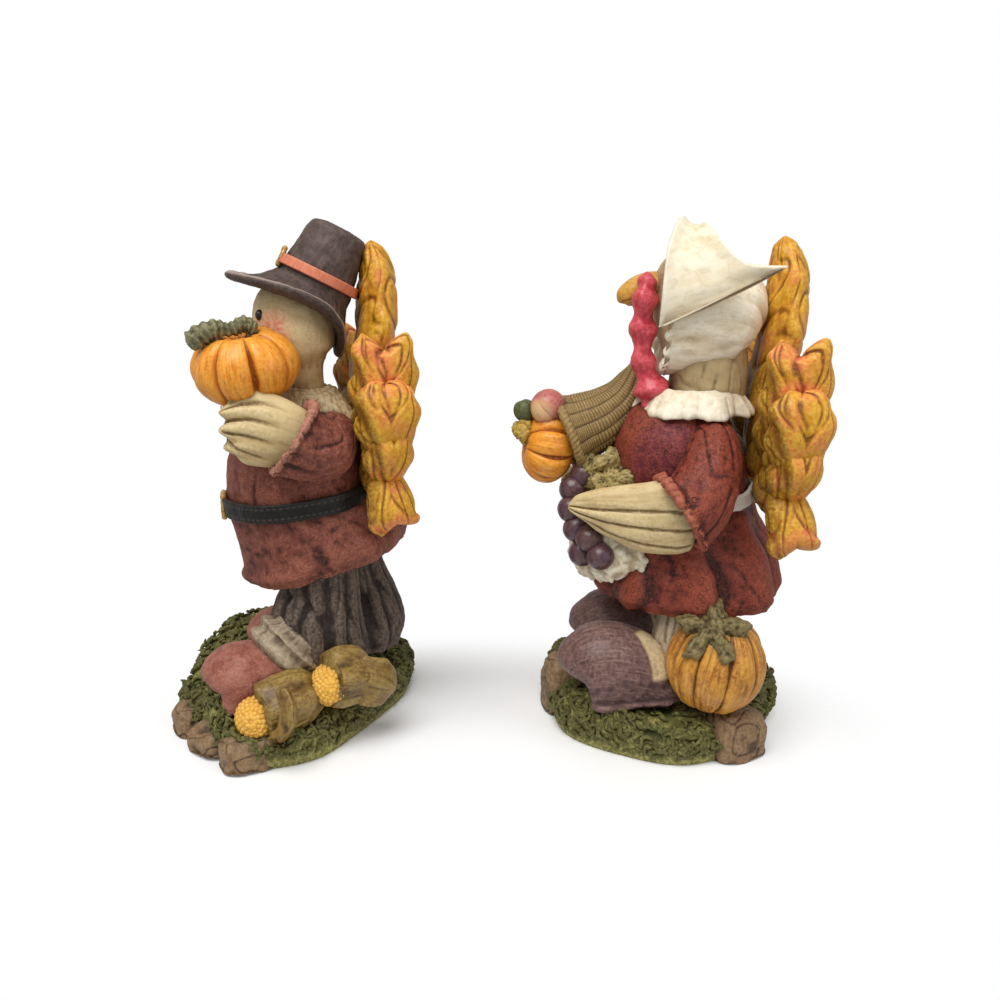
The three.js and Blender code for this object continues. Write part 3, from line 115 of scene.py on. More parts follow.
def spline(points: Sequence, t: Array, closed: bool = False, even: bool = False) -> Array:
    """Places along a smooth curve.

    Args:
        points: The places that the curve runs through.
        t: How far along, from 0 to 1.
        closed: Whether the curve returns to its start.
        even: Whether all spans count the same, for tables of sizes.

    Returns:
        One row for each value of t.
    """
    spots = np.asarray(points, float)
    count = len(spots)
    spans = count if closed else count - 1
    t = np.asarray(t, float)
    along = (t % 1 if closed else np.clip(t, 0, 1)) * spans
    first = np.minimum(np.floor(along).astype(int), spans - 1)
    w = (along - first)[..., None]

    def at(index: Array) -> Array:
        """The corner of that index, held at the ends of an open curve."""
        return spots[index % count] if closed else spots[np.clip(index, 0, count - 1)]

    p0, p1, p2, p3 = at(first - 1), at(first), at(first + 1), at(first + 2)
    if even:
        start, end = (p2 - p0) / 2, (p3 - p1) / 2
    else:
        if not closed:
            p0 = np.where((first == 0)[..., None], 2 * spots[0] - spots[1], p0)
            p3 = np.where((first == spans - 1)[..., None], 2 * spots[-1] - spots[-2], p3)
        d0, d1, d2 = (
            np.maximum(np.linalg.norm(b - a, axis=-1, keepdims=True), 1e-6) ** 0.5
            for a, b in ((p0, p1), (p1, p2), (p2, p3))
        )
        start = ((p1 - p0) / d0 - (p2 - p0) / (d0 + d1) + (p2 - p1) / d1) * d1
        end = ((p2 - p1) / d1 - (p3 - p1) / (d1 + d2) + (p3 - p2) / d2) * d1
    bend = 3 * (p2 - p1) - 2 * start - end
    twist = 2 * (p1 - p2) + start + end
    return p1 + w * (start + w * (bend + w * twist))


def turned_to(start: Array, end: Sequence[float]) -> Array:
    """The shortest rotation from one direction to another, as a 3 by 3 matrix."""
    return np.array(Vector(start).rotation_difference(Vector(end)).to_matrix())


def turned(points: Array, angle: float) -> Array:
    """Places turned round the Z axis."""
    c, s = math.cos(angle), math.sin(angle)
    return points @ np.array([[c, s, 0], [-s, c, 0], [0, 0, 1]])


def leaned(points: Array, angle: float) -> Array:
    """Places turned round the Y axis, so that what stands upright leans back to +X."""
    c, s = math.cos(angle), math.sin(angle)
    return points @ np.array([[c, 0, -s], [0, 1, 0], [s, 0, c]])


def angles(count: int) -> Array:
    """Even steps once round a ring."""
    return np.arange(count) / count * TURN


def around_axis(angle: Array, out: Array, level: Array) -> Array:
    """Places by their angle round the Z axis, their distance from it and their height."""
    return np.stack(np.broadcast_arrays(np.cos(angle) * out, np.sin(angle) * out, level), -1)


def pooled(values: Array) -> Array:
    """Values at rings of points, in the order of a ringed surface's points, with one for each pole."""
    middle = values[1:-1].reshape((-1,) + values.shape[2:])
    return np.concatenate([values[0].mean(0)[None], middle, values[-1].mean(0)[None]])


class Noise:
    """Smooth seeded noise in space."""

    def __init__(self, seed: int) -> None:
        """Draws the tables of the noise from a seed."""
        rng = np.random.default_rng(seed)
        self.order = np.tile(rng.permutation(256), 3)
        self.slopes = unit(rng.normal(size=(256, 3)))
        self.jitter = rng.random((256, 3))

    def _corner(self, cell: Array) -> Array:
        """The table row that belongs to each whole-numbered cell."""
        cell = cell & 255
        return self.order[self.order[self.order[cell[..., 0]] + cell[..., 1]] + cell[..., 2]]

    def soft(self, points: Array, size: float) -> Array:
        """Gradient noise from about -1 to 1, with features about `size` across.

        Args:
            points: Places in millimetres.
            size: About how far apart the features lie, in millimetres.

        Returns:
            One value for each place.
        """
        spots = points / size
        base = np.floor(spots).astype(int)
        part = spots - base
        fade = part * part * part * (part * (part * 6 - 15) + 10)
        total = np.zeros(spots.shape[:-1])
        for corner in np.ndindex(2, 2, 2):
            step = np.array(corner)
            weight = np.prod(np.where(step == 1, fade, 1 - fade), axis=-1)
            slope = self.slopes[self._corner(base + step)]
            total += weight * np.sum(slope * (part - step), axis=-1)
        return total * 1.7

    def lumps(self, points: Array, size: float, octaves: int = 3) -> Array:
        """Noise of several sizes, each half the one before."""
        return sum(self.soft(points + 17.3 * n, size / 2**n) / 2**n for n in range(octaves))

    def creases(self, points: Array, size: float) -> Array:
        """Thin winding valleys: 0 in a valley and up to 1 between them."""
        return np.clip(np.abs(self.soft(points, size)) * 2.4, 0, 1)

    def pebbles(self, points: Array, size: float) -> Array:
        """Rounded cells that touch: 1 at the middle of a cell and 0 at its edge.

        Args:
            points: Places in millimetres.
            size: About how far apart the features lie, in millimetres.

        Returns:
            One value for each place.
        """
        spots = points / size
        base = np.floor(spots).astype(int)
        near = np.full(spots.shape[:-1], 9.0)
        after = near.copy()
        for corner in np.ndindex(3, 3, 3):
            cell = base + np.array(corner) - 1
            away = np.linalg.norm(cell + self.jitter[self._corner(cell)] - spots, axis=-1)
            after = np.minimum(after, np.maximum(near, away))
            near = np.minimum(near, away)
        return np.clip((after - near) * 1.6, 0, 1)


ROUGH = Noise(7)
FINE = Noise(23)


@dataclass
class Skin:
    """A surface in millimetres, in the figure's frame.

    Fields: places, four-sided and three-sided faces, grain (millimetres around and along the form, which
    the painted strokes follow), tint (the share of the second colour) and shade (painted shade: extra dark
    where shade falls). A lofted surface also keeps the angle round its path and the share of its length at
    each point.
    """

    points: Array
    quads: Array
    tris: Array
    grain: Array
    tint: Array = None
    shade: Array = None
    angle: Array = None
    far: Array = None

    def __post_init__(self) -> None:
        """Fills the masks that weren't given with zeros."""
        self.tint = np.zeros(len(self.points)) if self.tint is None else self.tint
        self.shade = np.zeros(len(self.points)) if self.shade is None else self.shade

    def triangles(self) -> Array:
        """All faces as triangles."""
        halves = [self.quads[:, [0, 1, 2]], self.quads[:, [0, 2, 3]], self.tris]
        return np.concatenate([half.reshape(-1, 3) for half in halves])

    def tree(self) -> BVHTree:
        """The surface as a tree that finds its nearest places."""
        return BVHTree.FromPolygons(self.points.tolist(), self.triangles().tolist())

    def normals(self) -> Array:
        """Outward directions at the points.

        Returns:
            A direction of length 1 for each point.
        """
        faces = self.triangles()
        a, b, c = (self.points[faces[:, n]] for n in range(3))
        ways = np.cross(b - a, c - a)
        out = np.stack([
            sum(np.bincount(faces[:, n], ways[:, axis], len(self.points)) for n in range(3))
            for axis in range(3)
        ], axis=-1)
        return unit(out)

    def volume(self) -> float:
        """The signed volume inside, below zero when the faces point in."""
        a, b, c = (self.points[self.triangles()[:, n]] for n in range(3))
        return float(np.sum(a * np.cross(b, c)))

    def facing_out(self) -> "Skin":
        """The same surface with its faces pointing out."""
        if self.volume() >= 0:
            return self
        return replace(self, quads=self.quads[:, ::-1], tris=self.tris[:, ::-1])

    def pushed(self, amount: Array) -> "Skin":
        """The surface moved along its normals, in millimetres."""
        return replace(self, points=self.points + self.normals() * np.asarray(amount)[..., None])

    def moved(self, points: Array) -> "Skin":
        """The same surface with other places, its faces pointing out."""
        return replace(self, points=points).facing_out()

    def sided(self, side: Side) -> "Skin":
        """The surface, mirrored for the far side."""
        if side is Side.LEFT:
            return self
        return self.moved(self.points * ACROSS)


def merged(skins: Sequence[Skin]) -> Skin:
    """Several surfaces as one."""
    starts = np.cumsum([0] + [len(skin.points) for skin in skins])
    shifted = [replace(s, quads=s.quads + start, tris=s.tris + start) for s, start in zip(skins, starts)]
    parts = ("points", "quads", "tris", "grain", "tint", "shade")
    return Skin(*(np.concatenate([getattr(skin, part) for skin in shifted]) for part in parts))


def wrapped_faces(rows: int, around: int, closed: bool = False) -> Array:
    """Four-sided faces of a grid of rings, row by row, that closes round each ring.

    Args:
        rows: How many rings.
        around: How many points in each ring.
        closed: Whether the last ring joins the first.

    Returns:
        The corner numbers of each face.
    """
    row = np.arange(rows if closed else rows - 1)[:, None]
    step = np.arange(around)[None]
    after = (row + 1) % rows
    ahead = (step + 1) % around
    corners = [row * around + step, row * around + ahead, after * around + ahead, after * around + step]
    return np.stack([np.broadcast_to(c, (len(row), around)) for c in corners], -1).reshape(-1, 4)


def ringed(rings: Array, grain: Array, tint: Array = None, shade: Array = None) -> Skin:
    """A closed surface from rings of points, whose first and last rings have shrunk to a point.

    Args:
        rings: Places, as rings by points by 3.
        grain: The grain at the same places.
        tint: The share of the second colour there.
        shade: Extra dark wash there.

    Returns:
        The closed surface.
    """
    rows, around = rings.shape[:2]
    inner = (rows - 2) * around
    quads = wrapped_faces(rows - 2, around) + 1
    step = np.arange(around)
    ahead = (step + 1) % around
    first = np.stack([np.zeros(around, int), 1 + ahead, 1 + step], -1)
    last_row = 1 + inner - around
    last = np.stack([last_row + step, last_row + ahead, np.full(around, inner + 1)], -1)

    masks = [None if mask is None else pooled(mask) for mask in (tint, shade)]
    return Skin(pooled(rings), quads, np.concatenate([first, last]), pooled(grain), *masks).facing_out()


def looped(rings: Array, grain: Array = None) -> Skin:
    """A closed surface from rings of points, whose last ring joins the first."""
    rows, around = rings.shape[:2]
    points = rings.reshape(-1, 3)
    quads = wrapped_faces(rows, around, closed=True)
    return Skin(points, quads, NO_FACES, points if grain is None else grain.reshape(-1, 3)).facing_out()


def ring_steps(along: int, ends: tuple[Cap, Cap], rounding: float, hollow: float) -> Array:
    """Where the rings of a lofted shape lie.

    Args:
        along: How many rings between the ends.
        ends: How the start and the end close.
        rounding: The share of the length that a round end takes.
        hollow: The share of the length that a hollow end is deep.

    Returns:
        Rows of how far along, how wide (1 is full), and whether it is inside a hollow.
    """
    turn = np.linspace(0, 1, 9)[:-1] * math.pi / 2
    round_end = np.stack([rounding * (1 - np.cos(turn)), np.sin(turn), np.zeros(8)], -1)
    flat_end = np.array([[0, 0, 0], [0, 0.4, 0], [0, 0.8, 0], [0, 0.95, 0], [0.004, 0.99, 0]])
    deep = hollow * np.array([1, 1, 1, 1, 0.8, 0.6, 0.4, 0.2, 0.08, 0.02, 0])
    wide = np.array([0, 0.3, 0.5, 0.66, 0.7, 0.74, 0.78, 0.82, 0.85, 0.88, 0.94])
    inside = np.array([1, 1, 1, 1, 1, 1, 0.9, 0.7, 0.4, 0.15, 0])
    closing = {
        Cap.ROUND: round_end,
        Cap.FLAT: flat_end,
        Cap.HOLLOW: np.stack([deep, wide, inside], -1),
    }
    start, end = closing[ends[0]], closing[ends[1]][::-1].copy()
    end[:, 0] = 1 - end[:, 0]
    low = rounding if ends[0] is Cap.ROUND else 0.01
    high = 1 - (rounding if ends[1] is Cap.ROUND else 0.01)
    middle = np.linspace(low, high, along)
    return np.concatenate([start, np.stack([middle, np.ones(along), np.zeros(along)], -1), end])


@dataclass
class Loft:
    """A solid along a smooth path, with half widths along a broad direction and half depths across it.

    The half widths and depths are shares of its size, and change smoothly along the path.
    """

    path: Array
    wides: Sequence[float]
    deeps: Sequence[float]
    broad: Array
    size: tuple[float, float] = (1.0, 1.0)
    around: int = 90
    along: int = 60
    ends: tuple[Cap, Cap] = (Cap.ROUND, Cap.ROUND)
    window: float = 1e-3
    rounding: float = 0.08
    hollow: float = 0.3
    notch: float = 0.0
    ripple: Wave = None

    def skin(self) -> Skin:
        """Builds the closed surface."""
        steps = ring_steps(self.along, self.ends, self.rounding, self.hollow)
        t, wide, inside = steps.T
        middle = spline(self.path, t)
        after, before = np.minimum(t + self.window, 1), np.maximum(t - self.window, 0)
        ahead = unit(spline(self.path, after) - spline(self.path, before))
        side = unit(self.broad - ahead * (ahead @ self.broad)[:, None])
        over = np.cross(side, ahead)
        half = spline(np.stack([self.wides, self.deeps], -1) * self.size, t, even=True)
        turn, far = np.broadcast_arrays(angles(self.around)[None], t[:, None])
        swell = (1.0 if self.ripple is None else self.ripple(turn, far)) * wide[:, None]
        x, z = np.cos(turn), np.sin(turn)
        rings = (
            middle[:, None]
            + side[:, None] * (x * half[:, :1] * swell)[..., None]
            + over[:, None] * (z * half[:, 1:] * swell)[..., None]
            + ahead[:, None] * (x * x * far * self.notch * wide[:, None])[..., None]
        )
        gone = np.concatenate([[0], np.cumsum(np.linalg.norm(np.diff(middle, axis=0), axis=-1))])
        grain = around_axis(turn, float(np.mean(half)), gone[:, None])
        # Painted shade: the inside of a hollow end is darkened.
        shade = np.broadcast_to(inside[:, None], turn.shape)
        return replace(ringed(rings, grain, shade=shade), angle=pooled(turn), far=pooled(far))


def edged(count: int, edge: float, corners: int) -> tuple[Array, Array]:
    """The profile of a sheet with rounded edges, out on one face and back on the other.

    Args:
        count: How many points on each face.
        edge: Half the thickness, as a share of the reach.
        corners: How many points round each edge, with its two ends.

    Returns:
        How far out each point lies, and on which face, from 1 to -1.
    """
    turn = np.linspace(0, math.pi, corners)[1:-1]
    out = np.linspace(edge, 1 - edge, count)
    share = np.concatenate([out, 1 - edge + edge * np.sin(turn), out[::-1], edge - edge * np.sin(turn)])
    return share, np.concatenate([np.ones(count), np.cos(turn), -np.ones(count), -np.cos(turn)])


def lifted(surface: Wave, first: Array, second: Array, lift: Array) -> Array:
    """Places at a height above a surface, which may be below zero."""
    run = surface(first + TINY, second) - surface(first - TINY, second)
    rise = surface(first, second + TINY) - surface(first, second - TINY)
    return surface(first, second) + unit(np.cross(rise, run)) * lift[..., None]


def ring_sheet(surface: Wave, thick: float, around: int, steps: int, reach: float) -> Skin:
    """A ring of even thickness with rounded edges.

    Args:
        surface: Places of its middle, from the angle and the share from inside (0) to outside (1).
        thick: The thickness in millimetres.
        around: How many points round the ring.
        steps: How many points from inside to outside.
        reach: About how far it is from inside to outside, in millimetres.

    Returns:
        The closed surface.
    """
    share, level = edged(steps, thick / 2 / reach, 9)
    angle, far = np.broadcast_arrays(angles(around)[None], share[:, None])
    rings = lifted(surface, angle, far, level[:, None] * thick / 2)
    size = float(np.mean(np.linalg.norm(rings - rings.mean((0, 1)), axis=-1)))
    return looped(rings, around_axis(angle, size, far * reach))


def slab(surface: Wave, thick: float, across: int, down: int, reach: float) -> Skin:
    """A sheet of even thickness with rounded edges.

    Args:
        surface: Places of its middle, from u (across) and v (down), both from 0 to 1.
        thick: The thickness in millimetres.
        across: How many points across.
        down: How many points down.
        reach: About how far it is across and down, in millimetres.

    Returns:
        The closed surface.
    """
    edge, rim = thick / 2 / reach, 5
    share, level = edged(down, edge, rim + 2)
    bend = np.linspace(0, 1, 6)[:-1] * math.pi / 2
    start = edge * (1 - np.cos(bend))
    u = np.concatenate([start, np.linspace(edge, 1 - edge, across), 1 - start[::-1]])
    height = np.concatenate([np.sin(bend), np.ones(across), np.sin(bend)[::-1]])
    wide, far = np.broadcast_arrays(u[:, None], share[None])
    rings = lifted(surface, wide, far, level[None] * height[:, None] * thick / 2)
    rows, around = rings.shape[:2]
    grain = np.stack([wide * reach, level[None] * np.ones_like(wide), far * reach], -1)
    index = np.arange(rows * around).reshape(rows, around)
    face = down + rim
    mirror = np.concatenate([np.arange(face)[::-1], np.arange(face, 2 * face)[::-1]])
    same = np.minimum(np.arange(around), mirror)
    index[0], index[-1] = index[0][same], index[-1][same]
    quads = index.reshape(-1)[wrapped_faces(rows, around)]
    return Skin(rings.reshape(-1, 3), quads, NO_FACES, grain.reshape(-1, 3)).facing_out()


def ball(middle: Array, radius: float, around: int = 20, rows: int = 12, long: float = 1.0) -> Skin:
    """A round bead, `long` times as high as it is wide."""
    polar = np.linspace(0, math.pi, rows)[:, None]
    rings = around_axis(angles(around), np.sin(polar), np.cos(polar) * long) * radius
    return ringed(rings + middle, rings)


def tubes(middles: Array, radii: Array, around: int = 6) -> Skin:
    """Many short bent tubes with pointed ends.

    Args:
        middles: Places along each tube, as tubes by places by 3.
        radii: The radius at each place.
        around: How many points round a tube.

    Returns:
        All tubes as one surface.
    """
    count, places = middles.shape[:2]
    ahead = unit(np.gradient(middles, axis=1))
    side = unit(np.cross(ahead, np.array([0.31, 0.59, 0.74])))
    over = np.cross(ahead, side)
    angle = angles(around)[:, None]
    spread = side[:, :, None] * np.cos(angle) + over[:, :, None] * np.sin(angle)
    rings = middles[:, :, None] + spread * radii[:, :, None, None]
    faces = wrapped_faces(places, around)[None] + (np.arange(count) * places * around)[:, None, None]
    points = rings.reshape(-1, 3)
    return Skin(points, faces.reshape(-1, 4)[:, ::-1], NO_FACES, points.copy())


def linear(colour: Colour) -> tuple[float, float, float, float]:
    """A screen colour from 0 to 255 as the light it stands for."""
    parts = [channel / 255 for channel in colour]
    light = [part / 12.92 if part <= 0.04045 else ((part + 0.055) / 1.055) ** 2.4 for part in parts]
    return (*light, 1.0)


class Graph:
    """The shader nodes of a material or a world, joined up from plain calls."""

    def __init__(self, holder: bpy.types.ID) -> None:
        """Starts with no nodes in a material or a world."""
        self.holder = holder
        holder.use_nodes = True
        self.tree = holder.node_tree
        self.tree.nodes.clear()

    def node(self, kind: str, inputs: dict = None, **settings: object) -> bpy.types.Node:
        """Adds a node of a kind.

        Args:
            kind: The kind's name, without the words that all shader nodes start with.
            inputs: Values or sockets of other nodes, by the name or number of the input.
            settings: The node's other settings.

        Returns:
            The node.
        """
        made = self.tree.nodes.new(f"ShaderNode{kind}")
        for key, value in settings.items():
            setattr(made, key, value)
        for key, value in (inputs or {}).items():
            if isinstance(value, bpy.types.NodeSocket):
                self.tree.links.new(value, made.inputs[key])
            else:
                made.inputs[key].default_value = value
        return made

    def math(self, operation: str, first: object, second: object = 0.0) -> bpy.types.NodeSocket:
        """One sum of two values."""
        return self.node("Math", {0: first, 1: second}, operation=operation).outputs[0]

    def times(self, first: object, second: object) -> bpy.types.NodeSocket:
        """The product of two values."""
        return self.math("MULTIPLY", first, second)

    def step(self, value: object, low: float, high: float, top: float = 1.0) -> bpy.types.NodeSocket:
        """A smooth step from 0 at low to top at high."""
        inputs = {"Value": value, "From Min": low, "From Max": high, "To Min": 0.0, "To Max": top}
        made = self.node("MapRange", inputs, interpolation_type="SMOOTHSTEP")
        return made.outputs["Result"]

    def mix(self, factor: object, first: object, second: object) -> bpy.types.NodeSocket:
        """A blend of two colours."""
        made = self.node("Mix", {0: factor, 6: first, 7: second}, data_type="RGBA")
        return made.outputs[2]

    def scaled(self, vector: object, scale: Sequence[float]) -> bpy.types.NodeSocket:
        """A vector times a scale on each axis."""
        made = self.node("VectorMath", {0: vector, 1: tuple(scale)}, operation="MULTIPLY")
        return made.outputs[0]

    def mark(self, name: str) -> bpy.types.NodeSocket:
        """A mask that the mesh carries at its points."""
        return self.node("Attribute", attribute_name=name).outputs["Fac"]

    def noise(self, vector: object, size: float, detail: float = 3.0) -> bpy.types.NodeSocket:
        """Noise about 0.5, with features about `size` across."""
        inputs = {"Vector": vector, "Scale": 1 / size, "Detail": detail, "Roughness": 0.6}
        return self.node("TexNoise", inputs).outputs[0]

    def cells(self, vector: object, size: float, feature: str) -> bpy.types.NodeSocket:
        """Distances in a pattern of cells."""
        inputs = {"Vector": vector, "Scale": 1 / size}
        return self.node("TexVoronoi", inputs, feature=feature).outputs["Distance"]


@dataclass(frozen=True)
class Paint:
    """A hand-painted finish: a base coat, patches, strokes along the form, a dark colour in hollows (dark
    paint and painted shade) and a light colour on ridges (dry-brushed paint and painted highlight).
    """

    base: Colour
    dark: Colour
    light: Colour
    patch: Colour = None
    patches: float = 0.5
    patch_size: float = 6.0
    tint: Colour = None
    # How strongly the dark colour goes into hollows and marked shade: dark paint and painted shade.
    wash: float = 0.85
    # How strongly the light colour goes onto ridges: dry-brushed paint and painted highlight.
    brush: float = 0.5
    strokes: float = 0.25
    stroke_size: float = 0.5
    stretch: float = 7.0
    crackle: float = 0.0
    crackle_size: float = 2.2
    specks: float = 0.0
    speck_size: float = 0.8
    rings: float = 0.0
    roughness: float = 0.6
    varnish: float = 0.03
    bump: float = 0.08
    metal: float = 0.0

    def material(self, name: str) -> bpy.types.Material:
        """Builds the material under that name.

        Args:
            name: The name to give it.

        Returns:
            The material.
        """
        graph = Graph(bpy.data.materials.new(name))
        place = graph.node("TexCoord").outputs["Object"]
        spot = graph.scaled(place, (1000, 1000, 1000))
        grain = graph.node("Attribute", attribute_name="grain").outputs["Vector"]
        dark, light = linear(self.dark), linear(self.light)
        broad = graph.noise(spot, self.patch_size)
        fine = graph.noise(spot, 0.9, 4.0)
        colour = graph.mix(
            graph.step(broad, 0.42, 0.62, self.patches), linear(self.base), linear(self.patch or self.light))
        drawn = graph.scaled(grain, (1, 1, 1 / self.stretch))
        stroke = graph.noise(drawn, self.stroke_size, 2.0)
        colour = graph.mix(graph.step(stroke, 0.48, 0.3, self.strokes), colour, dark)
        colour = graph.mix(graph.step(stroke, 0.52, 0.7, self.strokes), colour, light)
        height = graph.times(stroke, 0.5)
        if self.tint:
            share = graph.times(graph.mark("tint"), graph.step(stroke, -0.4, 0.5))
            colour = graph.mix(share, colour, linear(self.tint))
        if self.specks:
            dots = graph.step(graph.cells(spot, self.speck_size, "F1"), 0.42, 0.2)
            some = graph.times(dots, graph.step(broad, 0.36, 0.62, self.specks))
            colour = graph.mix(some, colour, light)
            height = graph.math("ADD", height, graph.times(dots, 0.8))
        if self.rings:
            away = graph.cells(spot, 2.6, "F1")
            band = graph.times(graph.step(away, 0.2, 0.26), graph.step(away, 0.36, 0.3))
            band = graph.times(band, graph.step(broad, 0.45, 0.55, self.rings))
            colour = graph.mix(band, colour, dark)
            height = graph.math("SUBTRACT", height, band)
        if self.crackle:
            bent = graph.node("VectorMath", {0: spot, 1: fine}, operation="ADD").outputs[0]
            line = graph.step(graph.cells(bent, self.crackle_size, "DISTANCE_TO_EDGE"), 0.07, 0.0)
            some = graph.times(line, graph.step(broad, 0.4, 0.55, self.crackle))
            colour = graph.mix(some, colour, dark)
            height = graph.math("SUBTRACT", height, graph.times(some, 0.7))
        # Dark colour in hollows, where elements meet and where a skin marks shade: partly dark paint in the
        # hollows, partly painted shade.
        hollow = graph.times(graph.mark("hollow"), graph.step(fine, 0.1, 0.6))
        colour = graph.mix(graph.times(hollow, self.wash), colour, dark)
        # Light colour on ridges: partly dry-brushed paint, partly painted highlight.
        ridge = graph.times(graph.mark("ridge"), graph.step(fine, 0.35, 0.65))
        colour = graph.mix(graph.times(ridge, self.brush), colour, light)
        rough = graph.node("MapRange", {
            "Value": fine, "From Min": 0.3, "From Max": 0.7,
            "To Min": self.roughness - 0.1, "To Max": self.roughness + 0.1}).outputs["Result"]
        height = graph.math("ADD", height, graph.times(fine, 0.6))
        bump = graph.node("Bump", {
            "Height": height, "Distance": self.bump * MILLIMETRE, "Strength": 1.0}).outputs["Normal"]
        shader = graph.node("BsdfPrincipled", {
            "Base Color": colour, "Roughness": rough, "Normal": bump, "Metallic": self.metal,
            "Specular IOR Level": 0.3, "Coat Weight": self.varnish, "Coat Roughness": 0.3})
        graph.node("OutputMaterial", {"Surface": shader.outputs[0]})
        return graph.holder


@dataclass
class Element:
    """A sculpted element: its CAD node (or its own name), its finish and its surface."""

    name: str
    slot: str
    paint: Paint
    skin: Skin
    node: str = None


@dataclass
class Figure:
    """A turkey's elements, and where it stands in the row frame."""

    name: str
    place: tuple[float, float]
    turn: float
    elements: list[Element] = field(default_factory=list)

    def add(self, part: str, slot: str, paint: Paint, *skins: Skin) -> None:
        """Adds an element that stands for a CAD node, which starts with the figure's name."""
        node = f"{self.name}_{part}"
        self.elements.append(Element(f"{node}_looks", slot, paint, merged(skins), node))

    def extra(self, part: str, slot: str, paint: Paint, *skins: Skin) -> None:
        """Adds an element that the CAD doesn't have."""
        self.elements.append(Element(f"{self.name}_{part}", slot, paint, merged(skins)))

    def seams(self) -> list[Array]:
        """How near each point lies to another element: 1 where they touch.

        Returns:
            One array for each element.
        """
        reach = 1.5
        found = [np.zeros(len(element.skin.points)) for element in self.elements]
        boxes = [(e.skin.points.min(0) - reach, e.skin.points.max(0) + reach) for e in self.elements]
        trees = [e.skin.tree() for e in self.elements]
        for mine, element in enumerate(self.elements):
            points = element.skin.points
            for other, (low, high) in enumerate(boxes):
                if other == mine or (low > boxes[mine][1]).any() or (high < boxes[mine][0]).any():
                    continue
                near = np.flatnonzero(((points > low) & (points < high)).all(1))
                for index, spot in zip(near.tolist(), points[near].tolist()):
                    away = trees[other].find_nearest(spot, reach)[3]
                    if away is not None:
                        found[mine][index] = max(found[mine][index], 1 - away / reach)
        return found

    def build(self) -> list[bpy.types.Object]:
        """Makes the Blender objects of all elements, each riding on the part."""
        return [self._piece(element, seam) for element, seam in zip(self.elements, self.seams())]

    def _piece(self, element: Element, seam: Array) -> bpy.types.Object:
        """One element as an object in the row frame.

        Args:
            element: What to make.
            seam: How near its points lie to other elements, from 0 to 1.

        Returns:
            The object.
        """
        skin = element.skin
        spots = (turned(skin.points, self.turn) + np.array([*self.place, 0])) * MILLIMETRE
        mesh = bpy.data.meshes.new(element.name)
        mesh.from_pydata(spots.tolist(), [], skin.quads.tolist() + skin.tris.tolist())
        mesh.polygons.foreach_set("use_smooth", np.ones(len(mesh.polygons), bool))
        hollow, ridge = relief_marks(skin)
        # The hollow mark darkens: dark paint and painted shade in hollows, the skin's own painted shade, and
        # painted shade where elements meet.
        marks = {"tint": skin.tint, "hollow": hollow + skin.shade + 0.8 * seam**2, "ridge": ridge}
        for name, values in marks.items():
            layer = mesh.attributes.new(name, "FLOAT", "POINT")
            layer.data.foreach_set("value", np.clip(values, 0, 1).astype(np.float32))
        layer = mesh.attributes.new("grain", "FLOAT_VECTOR", "POINT")
        layer.data.foreach_set("vector", skin.grain.astype(np.float32).reshape(-1))
        mesh.materials.append(element.paint.material(f"{element.name}_paint"))
        mesh.update()
        piece = bpy.data.objects.new(element.name, mesh)
        bpy.context.scene.collection.objects.link(piece)
        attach(piece, "root")
        if element.node:
            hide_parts(element.node)
        log.info("%s: %d faces", element.name, len(mesh.polygons))
        return piece


def relief_marks(skin: Skin) -> tuple[Array, Array]:
    """How far each point lies in a hollow and on a ridge, both from 0 to 1.

    Args:
        skin: The surface.

    Returns:
        How far each point lies in a hollow, and on a ridge.
    """
    faces = skin.triangles()
    pairs = np.concatenate([faces[:, [0, 1]], faces[:, [1, 2]], faces[:, [2, 0]]])
    count = len(skin.points)
    share = np.maximum(np.bincount(pairs[:, 0], minlength=count), 1)
    normals = skin.normals()
    spots = skin.points
    hollow = np.zeros(count)
    ridge = np.zeros(count)
    for rounds, scale in ((5, 0.12), (22, 0.5)):
        for _ in range(rounds):
            spots = np.stack([
                np.bincount(pairs[:, 0], spots[pairs[:, 1], axis], count) for axis in range(3)
            ], -1) / share[:, None]
        depth = np.sum((spots - skin.points) * normals, axis=-1)
        hollow += np.clip(depth / scale, 0, 0.8)
        ridge += np.clip(-depth / scale, 0, 0.8)
    return hollow, ridge


def streaks(grain: Array, size: float, stretch: float) -> Array:
    """Noise drawn out along the grain, from about -1 to 1."""
    return ROUGH.lumps(grain * np.array([1, 1, 1 / stretch]), size, 2)


def grooves(grain: Array, size: float, stretch: float) -> Array:
    """Winding creases drawn out along the grain: 0 in a crease and 1 between."""
    return ROUGH.creases(grain * np.array([1, 1, 1 / stretch]), size)


